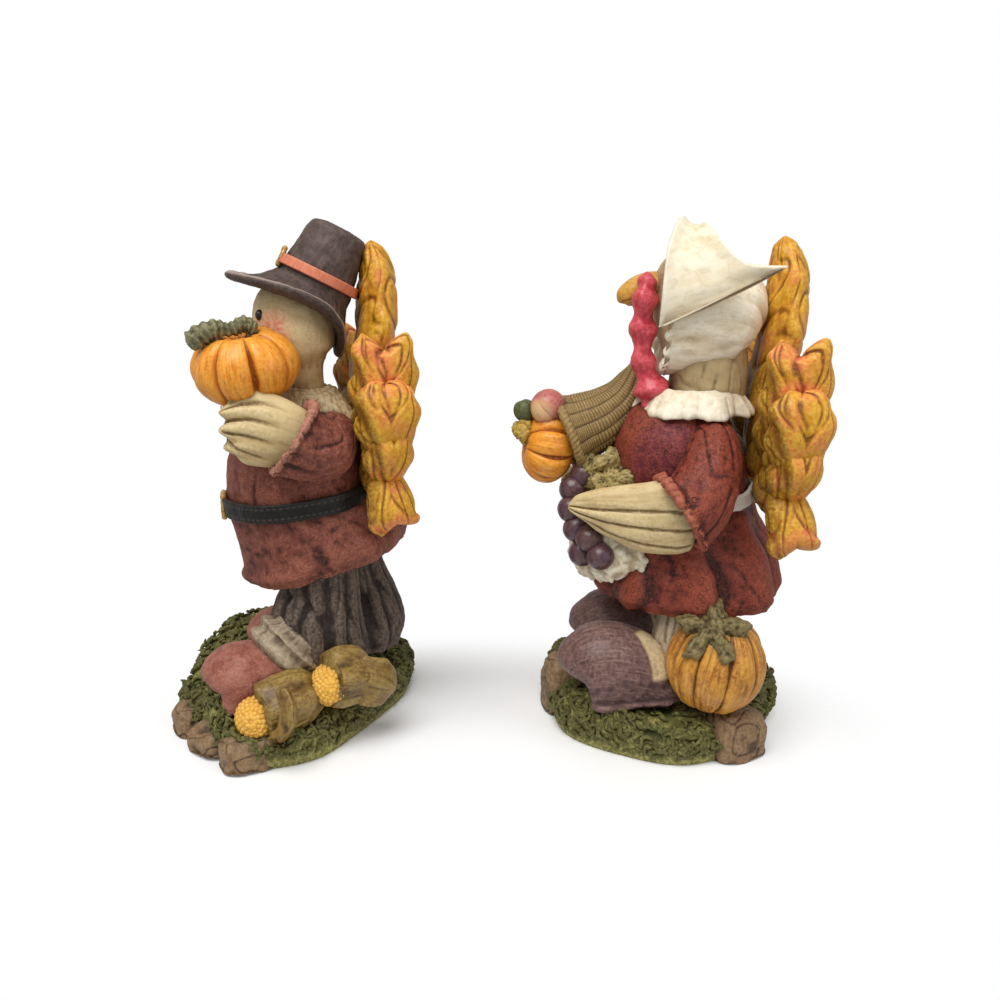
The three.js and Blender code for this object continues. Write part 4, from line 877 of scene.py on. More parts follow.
@dataclass(frozen=True)
class Ground:
    """The mossy mound that a figure stands on, with a bank on its far side."""

    half_length: float
    half_depth: float
    rise: float
    bank: float
    middle: tuple[float, float]
    outline: Sizes
    rings: tuple = ((0.93, 0), (1, 0.4), (0.96, 0.78), (0.84, 0.98), (0.5, 1.06), (0.2, 1.06))
    tuft: float = 1.0
    waves: tuple = (12, 2.5)
    heaps: tuple = ()
    curls: int = 3600
    inset: float = 1.7

    def on(self, x: float, y: float) -> Array:
        """A place on the table, from shares of the half sizes."""
        return np.array([self.half_length * (self.middle[0] + x), self.half_depth * (self.middle[1] + y), 0])

    def surface(self, share: Array, up: Array, inward: Array) -> Array:
        """Places on the mound.

        Args:
            share: How far round, from 0 to 1.
            up: How far up the side, from 0 at the table to 1 at the crown.
            inward: How far out from the middle, from 0 to 1 at the edge of the crown.

        Returns:
            Places in millimetres.
        """
        corners = around_axis(angles(len(self.outline)), np.array(self.outline), 0)
        ring = spline(self.rings, up, even=True)
        out = spline(corners, share, closed=True) * (ring[..., :1] * inward[..., None])
        far = ease(0, 1, out[..., 1]) * ease(-1, 1, -out[..., 0]) * ease(0, 1, ring[..., 1])
        wave = np.cos(share * self.waves[0] * TURN) * np.cos(up * self.waves[1] * TURN)
        lump = self.tuft * wave * inward * ease(0, 1, ring[..., 1])
        spot = np.stack([
            out[..., 0] * self.half_length, out[..., 1] * self.half_depth,
            ring[..., 1] * self.rise + far * self.bank + lump], -1)
        spot = spot - out * np.abs(lump)[..., None] + self.on(0, 0)
        for x, y, height, radius in self.heaps:
            away = np.hypot(spot[..., 0] - x, spot[..., 1] - y) / radius
            spot[..., 2] += height * np.exp(-(away**2)) * ease(0, 1, ring[..., 1])
        return spot

    def skin(self) -> Skin:
        """The mound itself, a little smaller than its outline, to leave room for the moss."""
        around, under, side, crown = 200, 11, 40, 30
        up = np.concatenate([np.zeros(under), np.linspace(0, 1, side), np.ones(crown)])
        inward = np.concatenate([np.linspace(0, 1, under + 1)[:-1], np.ones(side), np.linspace(1, 0, crown)])
        rings = self.surface(*np.broadcast_arrays(np.arange(around) / around, up[:, None], inward[:, None]))
        skin = ringed(rings, rings)
        lumpy = ROUGH.lumps(skin.points, 5) * 0.4 - self.inset
        moved = skin.pushed(lumpy * ease(0, 4, skin.points[:, 2]) - 0.3)
        moved.points[:, 2] = np.maximum(moved.points[:, 2], 0)
        # Painted shade: the whole mound under the moss curls is darkened.
        moved.shade = np.full(len(moved.points), 0.7)
        return moved

    def moss(self, seed: int, kept_clear: Sequence[Skin]) -> Skin:
        """Curls of moss over the mound, but not inside the elements that stand on it.

        Args:
            seed: The seed of the random draws.
            kept_clear: The elements that stand on the mound.

        Returns:
            All curls as one surface.
        """
        rng = np.random.default_rng(seed)
        on_side = 0.55
        up = np.where(rng.random(self.curls) < on_side, rng.random(self.curls), 1.0)
        inward = np.where(up < 1, 1.0, rng.random(self.curls) ** 0.5)
        share = rng.random(self.curls)
        tiny, places, sides = 0.004, 7, 6
        spot = self.surface(share, up, inward)
        run = self.surface(share + tiny, up, inward) - spot
        low = up < 1
        rise = self.surface(share, np.where(low, up + tiny, up), np.where(low, inward, inward - tiny)) - spot
        out = unit(np.cross(run, rise))
        out *= np.sign(np.sum(out * (spot - self.on(0, 0) + 3 * Z_WAY), -1))[:, None]
        lying = unit(run)[:, None] * np.cos(rng.random(self.curls) * TURN)[:, None, None]
        lying = lying + unit(rise)[:, None] * np.sin(rng.random(self.curls) * TURN)[:, None, None]
        across = np.cross(out[:, None], lying)
        reach = (1.0 + 1.1 * rng.random(self.curls))[:, None, None]
        step = np.linspace(-1, 1, places)[None, :, None]
        bend = (rng.random(self.curls) * 2.4 - 1.2)[:, None, None]
        base = spot - out * self.inset
        lift = (0.3 + 0.5 * rng.random(self.curls))[:, None, None]
        middles = base[:, None] + lying * step * reach + across * bend * (step**2 - 0.5) * reach
        middles = middles + out[:, None] * (1 - step**2) * lift
        round_end = np.sqrt(np.clip(1.04 - np.linspace(-1, 1, places) ** 2, 0.0, 1))
        thick = (0.4 + 0.4 * rng.random(self.curls))[:, None]
        clear = spot[:, 2] > 0.9
        for other in kept_clear:
            tree = other.tree()
            for index in np.flatnonzero(clear):
                hit = tree.find_nearest(spot[index].tolist(), 9.0)
                if hit[0] is not None:
                    clear[index] = (Vector(spot[index]) - hit[0]).dot(hit[1]) > -0.2
        moss = tubes(middles[clear], (thick * round_end[None])[clear], sides)
        each = places * sides
        above = np.sum((moss.points - np.repeat(spot[clear], each, 0)) * np.repeat(out[clear], each, 0), -1)
        moss.points[:, 2] = np.maximum(moss.points[:, 2], 0.05)
        moss.tint = np.repeat(rng.random(int(clear.sum())), each)
        # Painted shade: each curl darkens towards its foot, down in the moss.
        moss.shade = 0.6 * ease(-0.3, -self.inset, above)
        return moss


@dataclass(frozen=True)
class Stone:
    """A rounded block of stone at the edge of a base."""

    long: float
    broad: float
    high: float
    turn: float
    place: tuple[float, float]
    blocky: float = 0.7
    buried: float = 0.5

    def skin(self, ground: Ground) -> Skin:
        """Builds the stone on its ground.

        Args:
            ground: The figure's mound.

        Returns:
            The closed surface.
        """
        polar = np.linspace(0, math.pi, 70)[:, None]
        rings = around_axis(angles(100), np.sin(polar), np.cos(polar))
        rings = np.sign(rings) * np.abs(rings) ** self.blocky
        rings[..., 2] = np.maximum(rings[..., 2] + 1, self.buried) - self.buried
        rings = rings * (self.long, self.broad, self.high / (2 - self.buried))
        rings = turned(rings, self.turn * TURN) + ground.on(*self.place)
        skin = ringed(rings, rings)
        cut = ROUGH.creases(skin.points + 40, 8)
        rough = ROUGH.lumps(skin.points, 7) * 0.7 - 0.6 * (1 - ease(0, 0.16, cut)) - 0.7
        worn = skin.pushed(rough)
        worn.points[:, 2] = np.maximum(worn.points[:, 2], 0)
        return worn


@dataclass(frozen=True)
class Body:
    """A coat or a dress, from its pleated hem to the neck."""

    width: float
    depth: float
    hem: float
    rise: float
    pleats: int
    pleat: float
    tilt: float
    path: Path
    wides: Sizes
    deeps: Sizes

    def on(self, x: float, y: float, z: float) -> Array:
        """A place on the body, from shares of its half sizes and of its rise above the hem."""
        return np.array([self.width * x, self.depth * y, self.hem + self.rise * z])

    def under(self, ground: Ground, x: float, y: float, z: float) -> Array:
        """A place under the hem, with its height as a share of the way up from the ground."""
        return np.array([self.width * x, self.depth * y, ground.rise + (self.hem - ground.rise) * z])

    def places(self, shares: Sequence[Shares]) -> Array:
        """Several places on the body."""
        return np.array([self.on(*one) for one in shares])

    def ripple(self, angle: Array, t: Array) -> Array:
        """The pleats, deepest at the hem."""
        return 1 + self.pleat * (1 - ease(0, 1, t)) * np.cos(angle * self.pleats)

    def along(self, height: Array) -> Array:
        """How far along the body's path the shares of its rise lie."""
        t = np.linspace(0, 1, 400)
        return np.interp(self.hem + self.rise * height, spline(self.places(self.path), t)[:, 2], t)

    def skin(self, folds: Sequence[tuple[float, float]], tint: Callable[[Array], Array] = None) -> Skin:
        """Builds the body.

        Args:
            folds: The deep folds of the skirt on either side, each by its angle and its depth in millimetres.
            tint: The share of the second colour from places.

        Returns:
            The closed surface.
        """
        def drawn(angle: Array, t: Array) -> Array:
            """How deep the skirt is drawn in, in millimetres."""
            bearing = np.abs((angle + math.pi) % TURN - math.pi)
            sway = 0.12 * np.sin(t * 9)
            deep = sum(depth * np.exp(-(((bearing - at + sway) / 0.11) ** 2)) for at, depth in folds)
            return deep * (1 - ease(0.12, 0.5, t))

        skin = Loft(
            self.places(self.path), self.wides, self.deeps, X_WAY, (self.width, self.depth), around=300,
            along=150, ends=(Cap.FLAT, Cap.ROUND), rounding=0.03, window=0.1, ripple=self.ripple).skin()
        if tint:
            skin.tint = tint(skin.points)
        creased = (1 - ease(0, 0.16, grooves(skin.grain + 30, 15, 2))) * -0.16
        rough = ROUGH.lumps(skin.points, 12) * 0.5 + FINE.lumps(skin.points, 2.2) * 0.12
        skin = skin.pushed(creased + rough - drawn(skin.angle, skin.far) - 0.4)
        # Painted shade: the deep folds of the skirt are darkened as well as drawn in.
        around, across, along = skin.grain.T
        skin.shade = np.clip(drawn(np.arctan2(across, around), along / along.max()) / 2.5, 0, 0.8)
        x, y, z = skin.points.T
        low = 1 - ease(self.hem, self.hem + self.rise / 2, z)
        return skin.moved(np.stack([x, y, z + low * self.tilt * self.rise * x / self.width], -1))


@dataclass(frozen=True)
class Band:
    """A belt or sash round a body, a little higher at the back."""

    thick: float
    low: float
    high: float
    tilt: float

    def skin(self, body: Body) -> Skin:
        """Builds the band on its body.

        Args:
            body: The figure's body.

        Returns:
            The closed surface.
        """
        off = BAND_GAP + self.thick / 2
        girth = np.stack([body.wides, body.deeps], -1) * (body.width, body.depth)

        def surface(angle: Array, s: Array) -> Array:
            """Places of the band's middle."""
            t = body.along(self.low + (self.high - self.low) * s + self.tilt * np.cos(angle))
            out = around_axis(angle, 1, 0)
            out[..., :2] *= spline(girth, t, even=True) * body.ripple(angle, t)[..., None] + off
            return spline(body.places(body.path), t) + out

        around, steps = 720, 14
        skin = ring_sheet(surface, self.thick, around, steps, (self.high - self.low) * body.rise)
        row, step = np.divmod(np.arange(len(skin.points)), around)
        stitched = np.isin(row, (2, steps - 3, steps + 9, 2 * steps + 4))
        stitch, pitch = 5, 9
        skin.tint = (stitched & (step % pitch < stitch)).astype(float)
        return skin.pushed(ROUGH.lumps(skin.points, 5) * 0.2 - 0.1)


@dataclass(frozen=True)
class Buckle:
    """A square frame."""

    side: float
    bar: float
    thick: float

    def skin(self, middle: Array, lean: float) -> Skin:
        """Builds the buckle, facing -X and leaning back by an angle.

        Args:
            middle: Where its middle lies.
            lean: How far it leans back, in radians.

        Returns:
            The closed surface.
        """
        angle, ring = angles(160), angles(14)[:, None]
        spread = np.maximum(np.abs(np.cos(angle)), np.abs(np.sin(angle))) ** -0.86
        out = (self.side - self.bar) / 2 * spread + np.cos(ring) * self.bar / 2
        frame = around_axis(angle, out, -np.sin(ring) * self.thick / 2)[..., [2, 0, 1]]
        skin = looped(leaned(frame, lean) + middle)
        return skin.pushed(ROUGH.lumps(skin.points, 1.6) * 0.12)


@dataclass(frozen=True)
class Head:
    """A head with its neck in one, seated on a body."""

    radius: float
    seat: Shares
    path: Path
    wides: Sizes
    deeps: Sizes
    wrinkles: float = 0.3

    def on(self, body: Body, x: float, y: float, z: float) -> Array:
        """A place on the head, in shares of its radius from its seat."""
        return body.on(*self.seat) + np.array([x, y, z]) * self.radius

    def skin(self, body: Body, blush: Array) -> Skin:
        """Builds the head, with a blush round a place.

        Args:
            body: The figure's body.
            blush: Where the near cheek blushes.

        Returns:
            The closed surface.
        """
        path = np.array([self.on(body, *one) for one in self.path])
        skin = Loft(path, self.wides, self.deeps, X_WAY, (self.radius, self.radius), around=140, along=90,
                    rounding=0.03).skin()
        near = np.where(skin.points[:, 1:2] > 0, skin.points * ACROSS, skin.points)
        skin.tint = ease(7.5, 1.5, np.linalg.norm(near - blush, axis=-1))
        neck = 1 - ease(0.25, 0.5, skin.far)
        line = 1 - ease(0, 0.4, grooves(skin.grain, 6, 2))
        return skin.pushed(FINE.lumps(skin.points, 5) * 0.25 - line * self.wrinkles * (0.3 + neck) - 0.15)


@dataclass(frozen=True)
class Beak:
    """A short hooked beak."""

    length: float
    width: float
    depth: float
    place: Shares
    path: tuple = ((0, 0, 0), (-0.35, 0, 0), (-0.66, 0, -0.08), (-0.91, 0, -0.2), (-1, 0, -0.28))
    girth: tuple = (0.9, 1, 0.92, 0.6, 0.16)

    def skin(self, body: Body, head: Head) -> Skin:
        """Builds the beak on its head.

        Args:
            body: The figure's body.
            head: The figure's head.

        Returns:
            The closed surface.
        """
        path = np.array(self.path) * self.length + head.on(body, *self.place)
        size = (self.width, self.depth)
        skin = Loft(path, self.girth, self.girth, Y_WAY, size, around=70, along=50).skin()
        line = np.exp(-((np.sin(skin.angle) + 0.35) / 0.09) ** 2) * (1 - ease(0.85, 1, skin.far))
        return skin.pushed(-0.35 * line + streaks(skin.grain, 2, 6) * 0.1)


@dataclass(frozen=True)
class Wattle:
    """A hanging string of soft beads."""

    length: float
    radius: float
    beads: int
    bead: float
    place: Shares
    path: tuple
    girth: tuple

    def skin(self, body: Body, head: Head) -> Skin:
        """Builds the wattle on its head.

        Args:
            body: The figure's body.
            head: The figure's head.

        Returns:
            The closed surface.
        """
        def ripple(angle: Array, t: Array) -> Array:
            """The beads."""
            return 1 - 1.3 * self.bead * np.cos(t * self.beads * TURN + 0.5 * np.sin(angle * 2))

        path = np.array(self.path) * self.length + head.on(body, *self.place)
        size = (self.radius, self.radius)
        skin = Loft(path, self.girth, self.girth, X_WAY, size, around=54, along=130, ripple=ripple).skin()
        return skin.pushed(ROUGH.lumps(skin.points, 4) * 0.35 - 0.15)


@dataclass(frozen=True)
class Hat:
    """A hat with a leaning crown, and a brim that dips beside the head and hangs down behind."""

    crown: float = 11.1
    top: float = 8.4
    rise: float = 16.4
    plug: float = 6
    thick: float = 2.4
    lean: float = 27 / 360 * TURN
    front: float = 23.6
    side: float = 20
    back: float = 14.5
    drop_front: float = 9
    drop_side: float = 4
    drop_back: float = 17
    dip: float = 19
    seat: Shares = (0.31, 0, 2.51)
    profile: tuple = ((1, 0), (1, 0.34), (0.99, 0.8), (0.9, 0.97), (0.5, 1.02))
    band: tuple = (0.8, 0.02, 0.2)
    buckle: Buckle = Buckle(6.4, 1.5, 1.4)
    buckle_height: float = 0.13

    def radius(self, share: Array) -> Array:
        """The crown's radius at a share of its rise."""
        return self.crown + (self.top - self.crown) * share

    def crown_skin(self, origin: Array) -> Skin:
        """The crown, with the plug that seats it.

        Args:
            origin: Where the hat sits.

        Returns:
            The closed surface.
        """
        share, up = spline(self.profile, np.linspace(0, 1, 60), even=True).T
        wall, cover = 10, 13
        out = np.concatenate([[0, self.crown / 2], [self.crown] * wall, self.radius(up) * share,
                              self.top / 2 * np.linspace(1, 0, cover + 1)[1:]])
        level = np.concatenate([[-self.plug] * 2, np.linspace(-self.plug, 0, wall + 1)[:-1], self.rise * up,
                                np.full(cover, self.rise * 1.02)])
        rings = around_axis(angles(150), out[:, None], level[:, None])
        skin = ringed(leaned(rings, self.lean) + origin, rings)
        return skin.pushed(FINE.lumps(skin.points, 5) * 0.25 - 0.15)

    def brim_skin(self, origin: Array) -> Skin:
        """The brim.

        Args:
            origin: Where the hat sits.

        Returns:
            The closed surface.
        """
        def between(angle: Array, front: float, side: float, back: float) -> Array:
            """A size that changes round the brim."""
            ahead = np.maximum(-np.cos(angle), 0) ** 2
            behind = np.maximum(np.cos(angle), 0) ** 2
            return side + (front - side) * ahead + (back - side) * behind

        def surface(angle: Array, s: Array) -> Array:
            """Places of the brim's middle."""
            reach = between(angle, self.front, self.side, self.back)
            drop = between(angle, self.drop_front, self.drop_side, self.drop_back)
            out = self.crown - self.thick + (reach - self.crown + self.thick) * s
            level = -drop * s * s - self.dip * s * (1 - s)
            return around_axis(angle, out, level)

        around, steps = 260, 40
        skin = ring_sheet(surface, self.thick, around, steps, self.side - self.crown + self.thick)
        row = np.arange(len(skin.points)) // around
        # Painted highlight: a light band where the top face turns over the outer rim (tint). Painted shade:
        # the rim's lower side and the underside next to it.
        painted_highlight_rim = (row > steps - 7) & (row < steps + 3)
        underside = (row > steps + 3) & (row < steps + 26)
        skin.tint, skin.shade = painted_highlight_rim.astype(float), underside.astype(float) * 0.6
        worn = skin.moved(leaned(skin.points, self.lean) + origin)
        return worn.pushed(FINE.lumps(worn.points, 4) * 0.2)

    def band_skin(self, origin: Array) -> Skin:
        """The ribbon round the foot of the crown.

        Args:
            origin: Where the hat sits.

        Returns:
            The closed surface.
        """
        thick, low, high = self.band

        def surface(angle: Array, s: Array) -> Array:
            """Places of the ribbon's middle."""
            share = low + (high - low) * s
            return around_axis(angle, self.radius(share) + BAND_GAP + thick / 2, self.rise * share)

        skin = ring_sheet(surface, thick, around=160, steps=10, reach=self.rise * (high - low))
        return skin.moved(leaned(skin.points, self.lean) + origin)

    def buckle_skin(self, origin: Array) -> Skin:
        """The buckle on the ribbon."""
        out = self.radius(self.buckle_height) + self.band[0]
        spot = np.array([-out, 0, self.rise * self.buckle_height])
        return self.buckle.skin(leaned(spot, self.lean) + origin, self.lean)


@dataclass(frozen=True)
class Bonnet:
    """A gathered cap, and a broad brim folded back to a peak above and a wing on either side."""

    length: float = 28.5
    width: float = 15
    height: float = 16.4
    frills: int = 8
    frill: float = 0.03
    cap_place: Shares = (-0.02, 0, 1.64)
    slant: float = 0.15
    cap_path: tuple = ((-0.5, 0, 0), (-0.42, 0, 0.01), (0, 0, 0.02), (0.34, 0, -0.04), (0.48, 0, -0.1),
                       (0.53, 0, -0.13))
    cap_wides: tuple = (0.92, 0.96, 1, 0.86, 0.5, 0.14)
    cap_deeps: tuple = (0.94, 0.97, 1, 0.88, 0.54, 0.14)
    brim_length: float = 31
    brim_half: float = 19
    brim_rise: float = 30
    thick: float = 1.9
    curl: float = 9.6
    turn: float = -0.028 * TURN
    brim_place: Shares = (-0.8, 0, 1.6)
    front: tuple = ((-0.1, -0.86, -0.02), (-0.08, -0.94, 0.3), (-0.06, -0.8, 0.62), (0, -0.4, 0.88),
                    (0.06, 0, 0.98))
    back: tuple = ((0.96, -1.06, 0.54), (0.64, -0.98, 0.57), (0.44, -0.7, 0.74), (0.34, -0.34, 0.86),
                   (0.28, 0, 0.92))

    def ripple(self, angle: Array, t: Array) -> Array:
        """The frills of the cap, deepest at its front edge."""
        return 1 + self.frill * (1 - t) * np.cos(angle * self.frills)

    def cap_skin(self, body: Body, head: Head) -> Skin:
        """The cap, gathered at its front edge.

        Args:
            body: The figure's body.
            head: The figure's head.

        Returns:
            The closed surface.
        """
        middle = head.on(body, *self.cap_place)
        skin = Loft(
            np.array(self.cap_path) * self.length + middle, self.cap_wides, self.cap_deeps, Y_WAY,
            (self.width, self.height), around=200, along=90, ends=(Cap.HOLLOW, Cap.ROUND), rounding=0.06,
            hollow=0.24, ripple=self.ripple).skin()
        edge = (1 - ease(0, 0.16, skin.far)) * np.cos(skin.angle * 19 + 2 * np.sin(skin.angle * 3)) * 0.8
        folds = streaks(skin.grain, 8, 3) * 0.5 + streaks(skin.grain + 40, 4, 3) * 0.45
        skin = skin.pushed(folds + edge - 0.4)
        points = skin.points.copy()
        forward = ease(0.1, 0.5, (middle[0] - points[:, 0]) / self.length)
        points[:, 0] += self.slant * forward * (points[:, 2] - middle[2] + 0.5 * self.height)
        return skin.moved(points)

    def brim_skin(self, body: Body, head: Head) -> Skin:
        """The folded-back brim, from its low corner on one side over the peak to the other.

        Args:
            body: The figure's body.
            head: The figure's head.

        Returns:
            The closed surface.
        """
        corner = head.on(body, *self.brim_place)
        size = np.array([self.brim_length, self.brim_half, self.brim_rise])

        def edge(shares: tuple, u: Array) -> Array:
            """Places along one edge of the brim."""
            near = np.array(shares) * size
            whole = np.concatenate([near, near[:-1][::-1] * ACROSS])
            return spline(turned(whole, self.turn) + corner, np.clip(u, 0, 1))

        def surface(u: Array, v: Array) -> Array:
            """Places of the brim's middle."""
            out = edge(self.front, u) * (1 - v[..., None]) + edge(self.back, u) * v[..., None]
            away = unit((out - corner) * np.array([0, 1, 1]))
            return out + away * (self.curl * (v * v - v))[..., None]

        skin = slab(surface, self.thick, across=220, down=60, reach=26)
        return skin.pushed(streaks(skin.grain + 20, 9, 4) * 0.4 + streaks(skin.grain, 4, 3) * 0.4 - 0.2)


@dataclass(frozen=True)
class Collar:
    """A collar that falls from the neck over the shoulders, with its outer edge in points."""

    inner: float
    outer: float
    lift: float
    fall: float
    thick: float
    points: int
    point: float
    place: Shares
    torn: float = 0.0

    def skin(self, body: Body) -> Skin:
        """Builds the collar on its body.

        Args:
            body: The figure's body.

        Returns:
            The closed surface.
        """
        middle = body.on(*self.place)

        def surface(angle: Array, s: Array) -> Array:
            """Places of the collar's middle."""
            rag = ROUGH.soft(around_axis(angle, 12, 0), 2.0) * self.torn
            point = 1 - (self.point * np.cos(angle * self.points) + rag) * s
            out = self.inner + (self.outer * point - self.inner) * s
            level = self.lift - (self.lift + self.fall * point) * s * s
            return around_axis(angle, out, level) + middle

        skin = ring_sheet(surface, self.thick, 260, 30, self.outer - self.inner + self.fall)
        rough = FINE.pebbles(skin.points, 2.2) * 0.45 if not self.torn else 0.2
        return skin.pushed(ROUGH.lumps(skin.points, 4) * 0.3 + rough - 0.3)


@dataclass(frozen=True)
class Sleeve:
    """A sleeve that widens to a ruffled, hollow opening."""

    width: float
    depth: float
    ruffles: int
    ruffle: float
    path: Path
    wides: Sizes
    deeps: Sizes

    def skin(self, body: Body, side: Side) -> Skin:
        """Builds the sleeve on one side of its body.

        Args:
            body: The figure's body.
            side: The near side or the far side.

        Returns:
            The closed surface.
        """
        def ripple(angle: Array, t: Array) -> Array:
            """The ruffles."""
            small = np.cos(angle * self.ruffles * 2 + 1) * 0.4
            return 1 + self.ruffle * t * t * (np.cos(angle * self.ruffles) + small)

        skin = Loft(
            body.places(self.path), self.wides, self.deeps, Y_WAY, (self.width, self.depth), around=160,
            along=80, ends=(Cap.ROUND, Cap.HOLLOW), hollow=0.24, ripple=ripple).skin()
        skin.tint = ease(0.86, 0.93, skin.far)
        creased = (1 - ease(0, 0.3, grooves(skin.grain, 10, 2))) * -0.4
        torn = ROUGH.soft(around_axis(skin.angle, 7, 0), 1.0) * 0.9 + 0.8
        rim = torn * ease(0.84, 0.93, skin.far)
        return skin.pushed(creased + FINE.lumps(skin.points, 2.5) * 0.2 + rim - 0.25).sided(side)


@dataclass(frozen=True)
class Wing:
    """A wing that serves as a hand: fingers of feathers that end in steps."""

    width: float
    depth: float
    fingers: int
    finger: float
    step: float
    notch: float
    path: Path
    wides: Sizes
    deeps: Sizes
    lines: tuple[float, float, float] = (0.3, 0.8, 1.3)

    def ridge(self, down: Array) -> Array:
        """A wave across the fingers: 1 on a finger and -1 between two."""
        return np.cos(down * self.fingers * math.pi)

    def skin(self, body: Body, side: Side) -> Skin:
        """Builds the wing on one side of its body.

        Args:
            body: The figure's body.
            side: The near side or the far side.

        Returns:
            The closed surface.
        """
        start, full, blade = self.lines

        def ripple(angle: Array, t: Array) -> Array:
            """The fingers' outline."""
            part = self.finger * ease(0.2, 1, t) * ease(blade + 0.15, blade - 0.15, np.sin(angle))
            return 1 + part * self.ridge(np.sin(angle))

        skin = Loft(
            body.places(self.path), self.wides, self.deeps, Y_WAY, (self.width, self.depth), around=160,
            along=100, rounding=0.1, ripple=ripple).skin()
        over, t = np.sin(skin.angle), skin.far
        gap = 1 - ease(-1, -0.7, self.ridge(over + 0.03 * np.sin(t * 9)))
        deep = gap * ease(start, full, t) * ease(blade + 0.1, blade - 0.1, over)
        skin = skin.pushed(-0.6 * deep + streaks(skin.grain, 2.2, 9) * 0.1 * ease(0.2, 0.5, t) - 0.1)
        middle = body.on(*self.path[2])
        x, y, z = skin.points.T
        down = (middle[2] - z) / self.depth
        out = np.clip((middle[0] - x) / (body.width / 2), 0, 1)
        back = self.notch * (1 - self.ridge(down)) / 2 - self.step * down
        return skin.moved(np.stack([x + out * back * self.depth, y, z], -1)).sided(side)


@dataclass(frozen=True)
class Legs:
    """Two legs of breeches, gaiters or stockings."""

    width: float
    depth: float
    paths: tuple
    girth: Sizes
    gathers: int = 0
    gather: float = 0.0
    folds: int = 0
    fold: float = 0.0
    creases: float = 0.5

    def skin(self, body: Body, ground: Ground, side: Side) -> Skin:
        """Builds the leg of one side.

        Args:
            body: The figure's body.
            ground: The figure's mound.
            side: The near side or the far side.

        Returns:
            The closed surface.
        """
        def ripple(angle: Array, t: Array) -> Array:
            """Gathers down the leg and folds across it."""
            down = 1 + self.gather * np.cos(angle * self.gathers)
            return down * (1 + self.fold * np.cos(t * self.folds * TURN + np.sin(angle * 2)))

        path = np.array([body.under(ground, *one) for one in self.paths[side.index]])
        skin = Loft(path, self.girth, self.girth, X_WAY, (self.width, self.depth), around=130, along=70,
                    rounding=0.06, ripple=ripple).skin()
        crease = 1 - ease(0, 0.5, grooves(skin.grain, 5, 5))
        return skin.pushed(FINE.lumps(skin.points, 2.5) * 0.15 - crease * self.creases)


@dataclass(frozen=True)
class Shoe:
    """A shoe with a big round toe and a flat sole."""

    length: float
    width: float
    height: float
    sink: float
    places: tuple
    welt: float = 0.0
    sole: float = 0.2
    path: tuple = ((0.5, 0, 0.4), (0.4, 0, 0.56), (0.14, 0, 0.86), (-0.14, 0, 1), (-0.36, 0, 0.98),
                   (-0.47, 0, 0.9), (-0.5, 0, 0.8))
    wides: tuple = (0.3, 0.62, 0.84, 1, 1, 0.8, 0.44)
    deeps: tuple = (0.3, 0.54, 0.84, 1, 0.98, 0.76, 0.4)

    def skin(self, body: Body, ground: Ground, side: Side) -> Skin:
        """Builds the shoe of one side.

        Args:
            body: The figure's body.
            ground: The figure's mound.
            side: The near side or the far side.

        Returns:
            The closed surface.
        """
        path = np.array(self.path) * np.array([self.length, 0, self.height])
        skin = Loft(path, self.wides, self.deeps, Y_WAY, (self.width, self.height), around=150, along=90,
                    rounding=0.04).skin()
        low = skin.points[:, 2] - self.height * (self.sole + 0.2)
        skin = skin.pushed(FINE.lumps(skin.points, 3) * 0.2 + self.welt * np.exp(-((low / 0.7) ** 2)) - 0.15)
        x, y = self.places[side.index]
        middle = np.array([body.width * x, body.depth * y, ground.rise - self.sink * self.height])
        points = skin.points.copy()
        below = np.clip(1 - points[:, 2] / (0.95 * self.height), 0, 0.8)
        fuller = 1 / np.sqrt(1 - below**2) - 1
        points[:, 0] *= 1 + np.minimum(fuller, 0.1)
        points[:, 1] *= 1 + np.minimum(fuller, 0.4)
        points[:, 2] = np.maximum(points[:, 2], self.sole * self.height)
        along, across, up = (points / (self.length, self.width, self.height)).T
        skin.tint = ease(0.02, 0.06, along - 0.3 * np.abs(across + 0.25)) * ease(0.9, 1, up)
        return skin.moved(points + middle)


@dataclass(frozen=True)
class Feather:
    """One fat curled feather of the tail, in shares of the tail's reach."""

    width: float
    depth: float
    notch: float
    path: Path
    wides: Sizes
    deeps: Sizes
    broad: tuple = (1, 0, 0)

    def skin(self, root: Array, reach: float, side: Side) -> Skin:
        """Builds the feather on one side of the tail.

        Args:
            root: Where the feathers meet.
            reach: The tail's reach in millimetres.
            side: The near side or the far side.

        Returns:
            The closed surface.
        """
        def ripple(angle: Array, t: Array) -> Array:
            """Wavy edges."""
            edge = np.cos(angle) ** 2
            return 1 + edge * 0.07 * np.sin(t * 21 + 2 * np.sign(np.cos(angle)))

        skin = Loft(
            np.array(self.path) * ACROSS * reach + root, self.wides, self.deeps, np.array(self.broad, float),
            (self.width, self.depth), around=120, along=100, notch=self.notch * self.width,
            ripple=ripple).skin()
        across, t = np.cos(skin.angle), skin.far
        skin.tint = np.clip(ROUGH.lumps(skin.points, 8) * 1.3 + ease(0.6, 1, t) * 0.4, 0, 1) * 0.9
        fanned = skin.grain - np.abs(across)[:, None] * 9 * Z_WAY
        crease = 1 - ease(0, 0.22, grooves(fanned, 9, 2))
        rib = np.exp(-((across / 0.14) ** 2)) * ease(0.9, 0.6, t)
        fold = ease(0, 0.4, ROUGH.creases(fanned + 70, 11)) * 0.45
        soft = ROUGH.lumps(fanned, 9, 2) * 0.7 + FINE.lumps(skin.points, 2) * 0.06
        skin = skin.pushed(soft + fold - crease * 0.35 - rib * 0.25 - 0.6)
        # Painted shade: the faces of the lower feathers that turn to -X, towards the body, are darkened.
        height = (skin.points[:, 2] - root[2]) / reach
        skin.shade = ease(0.25, 0.8, -skin.normals()[:, 0]) * ease(0.6, 0.3, height)
        return skin.sided(side)


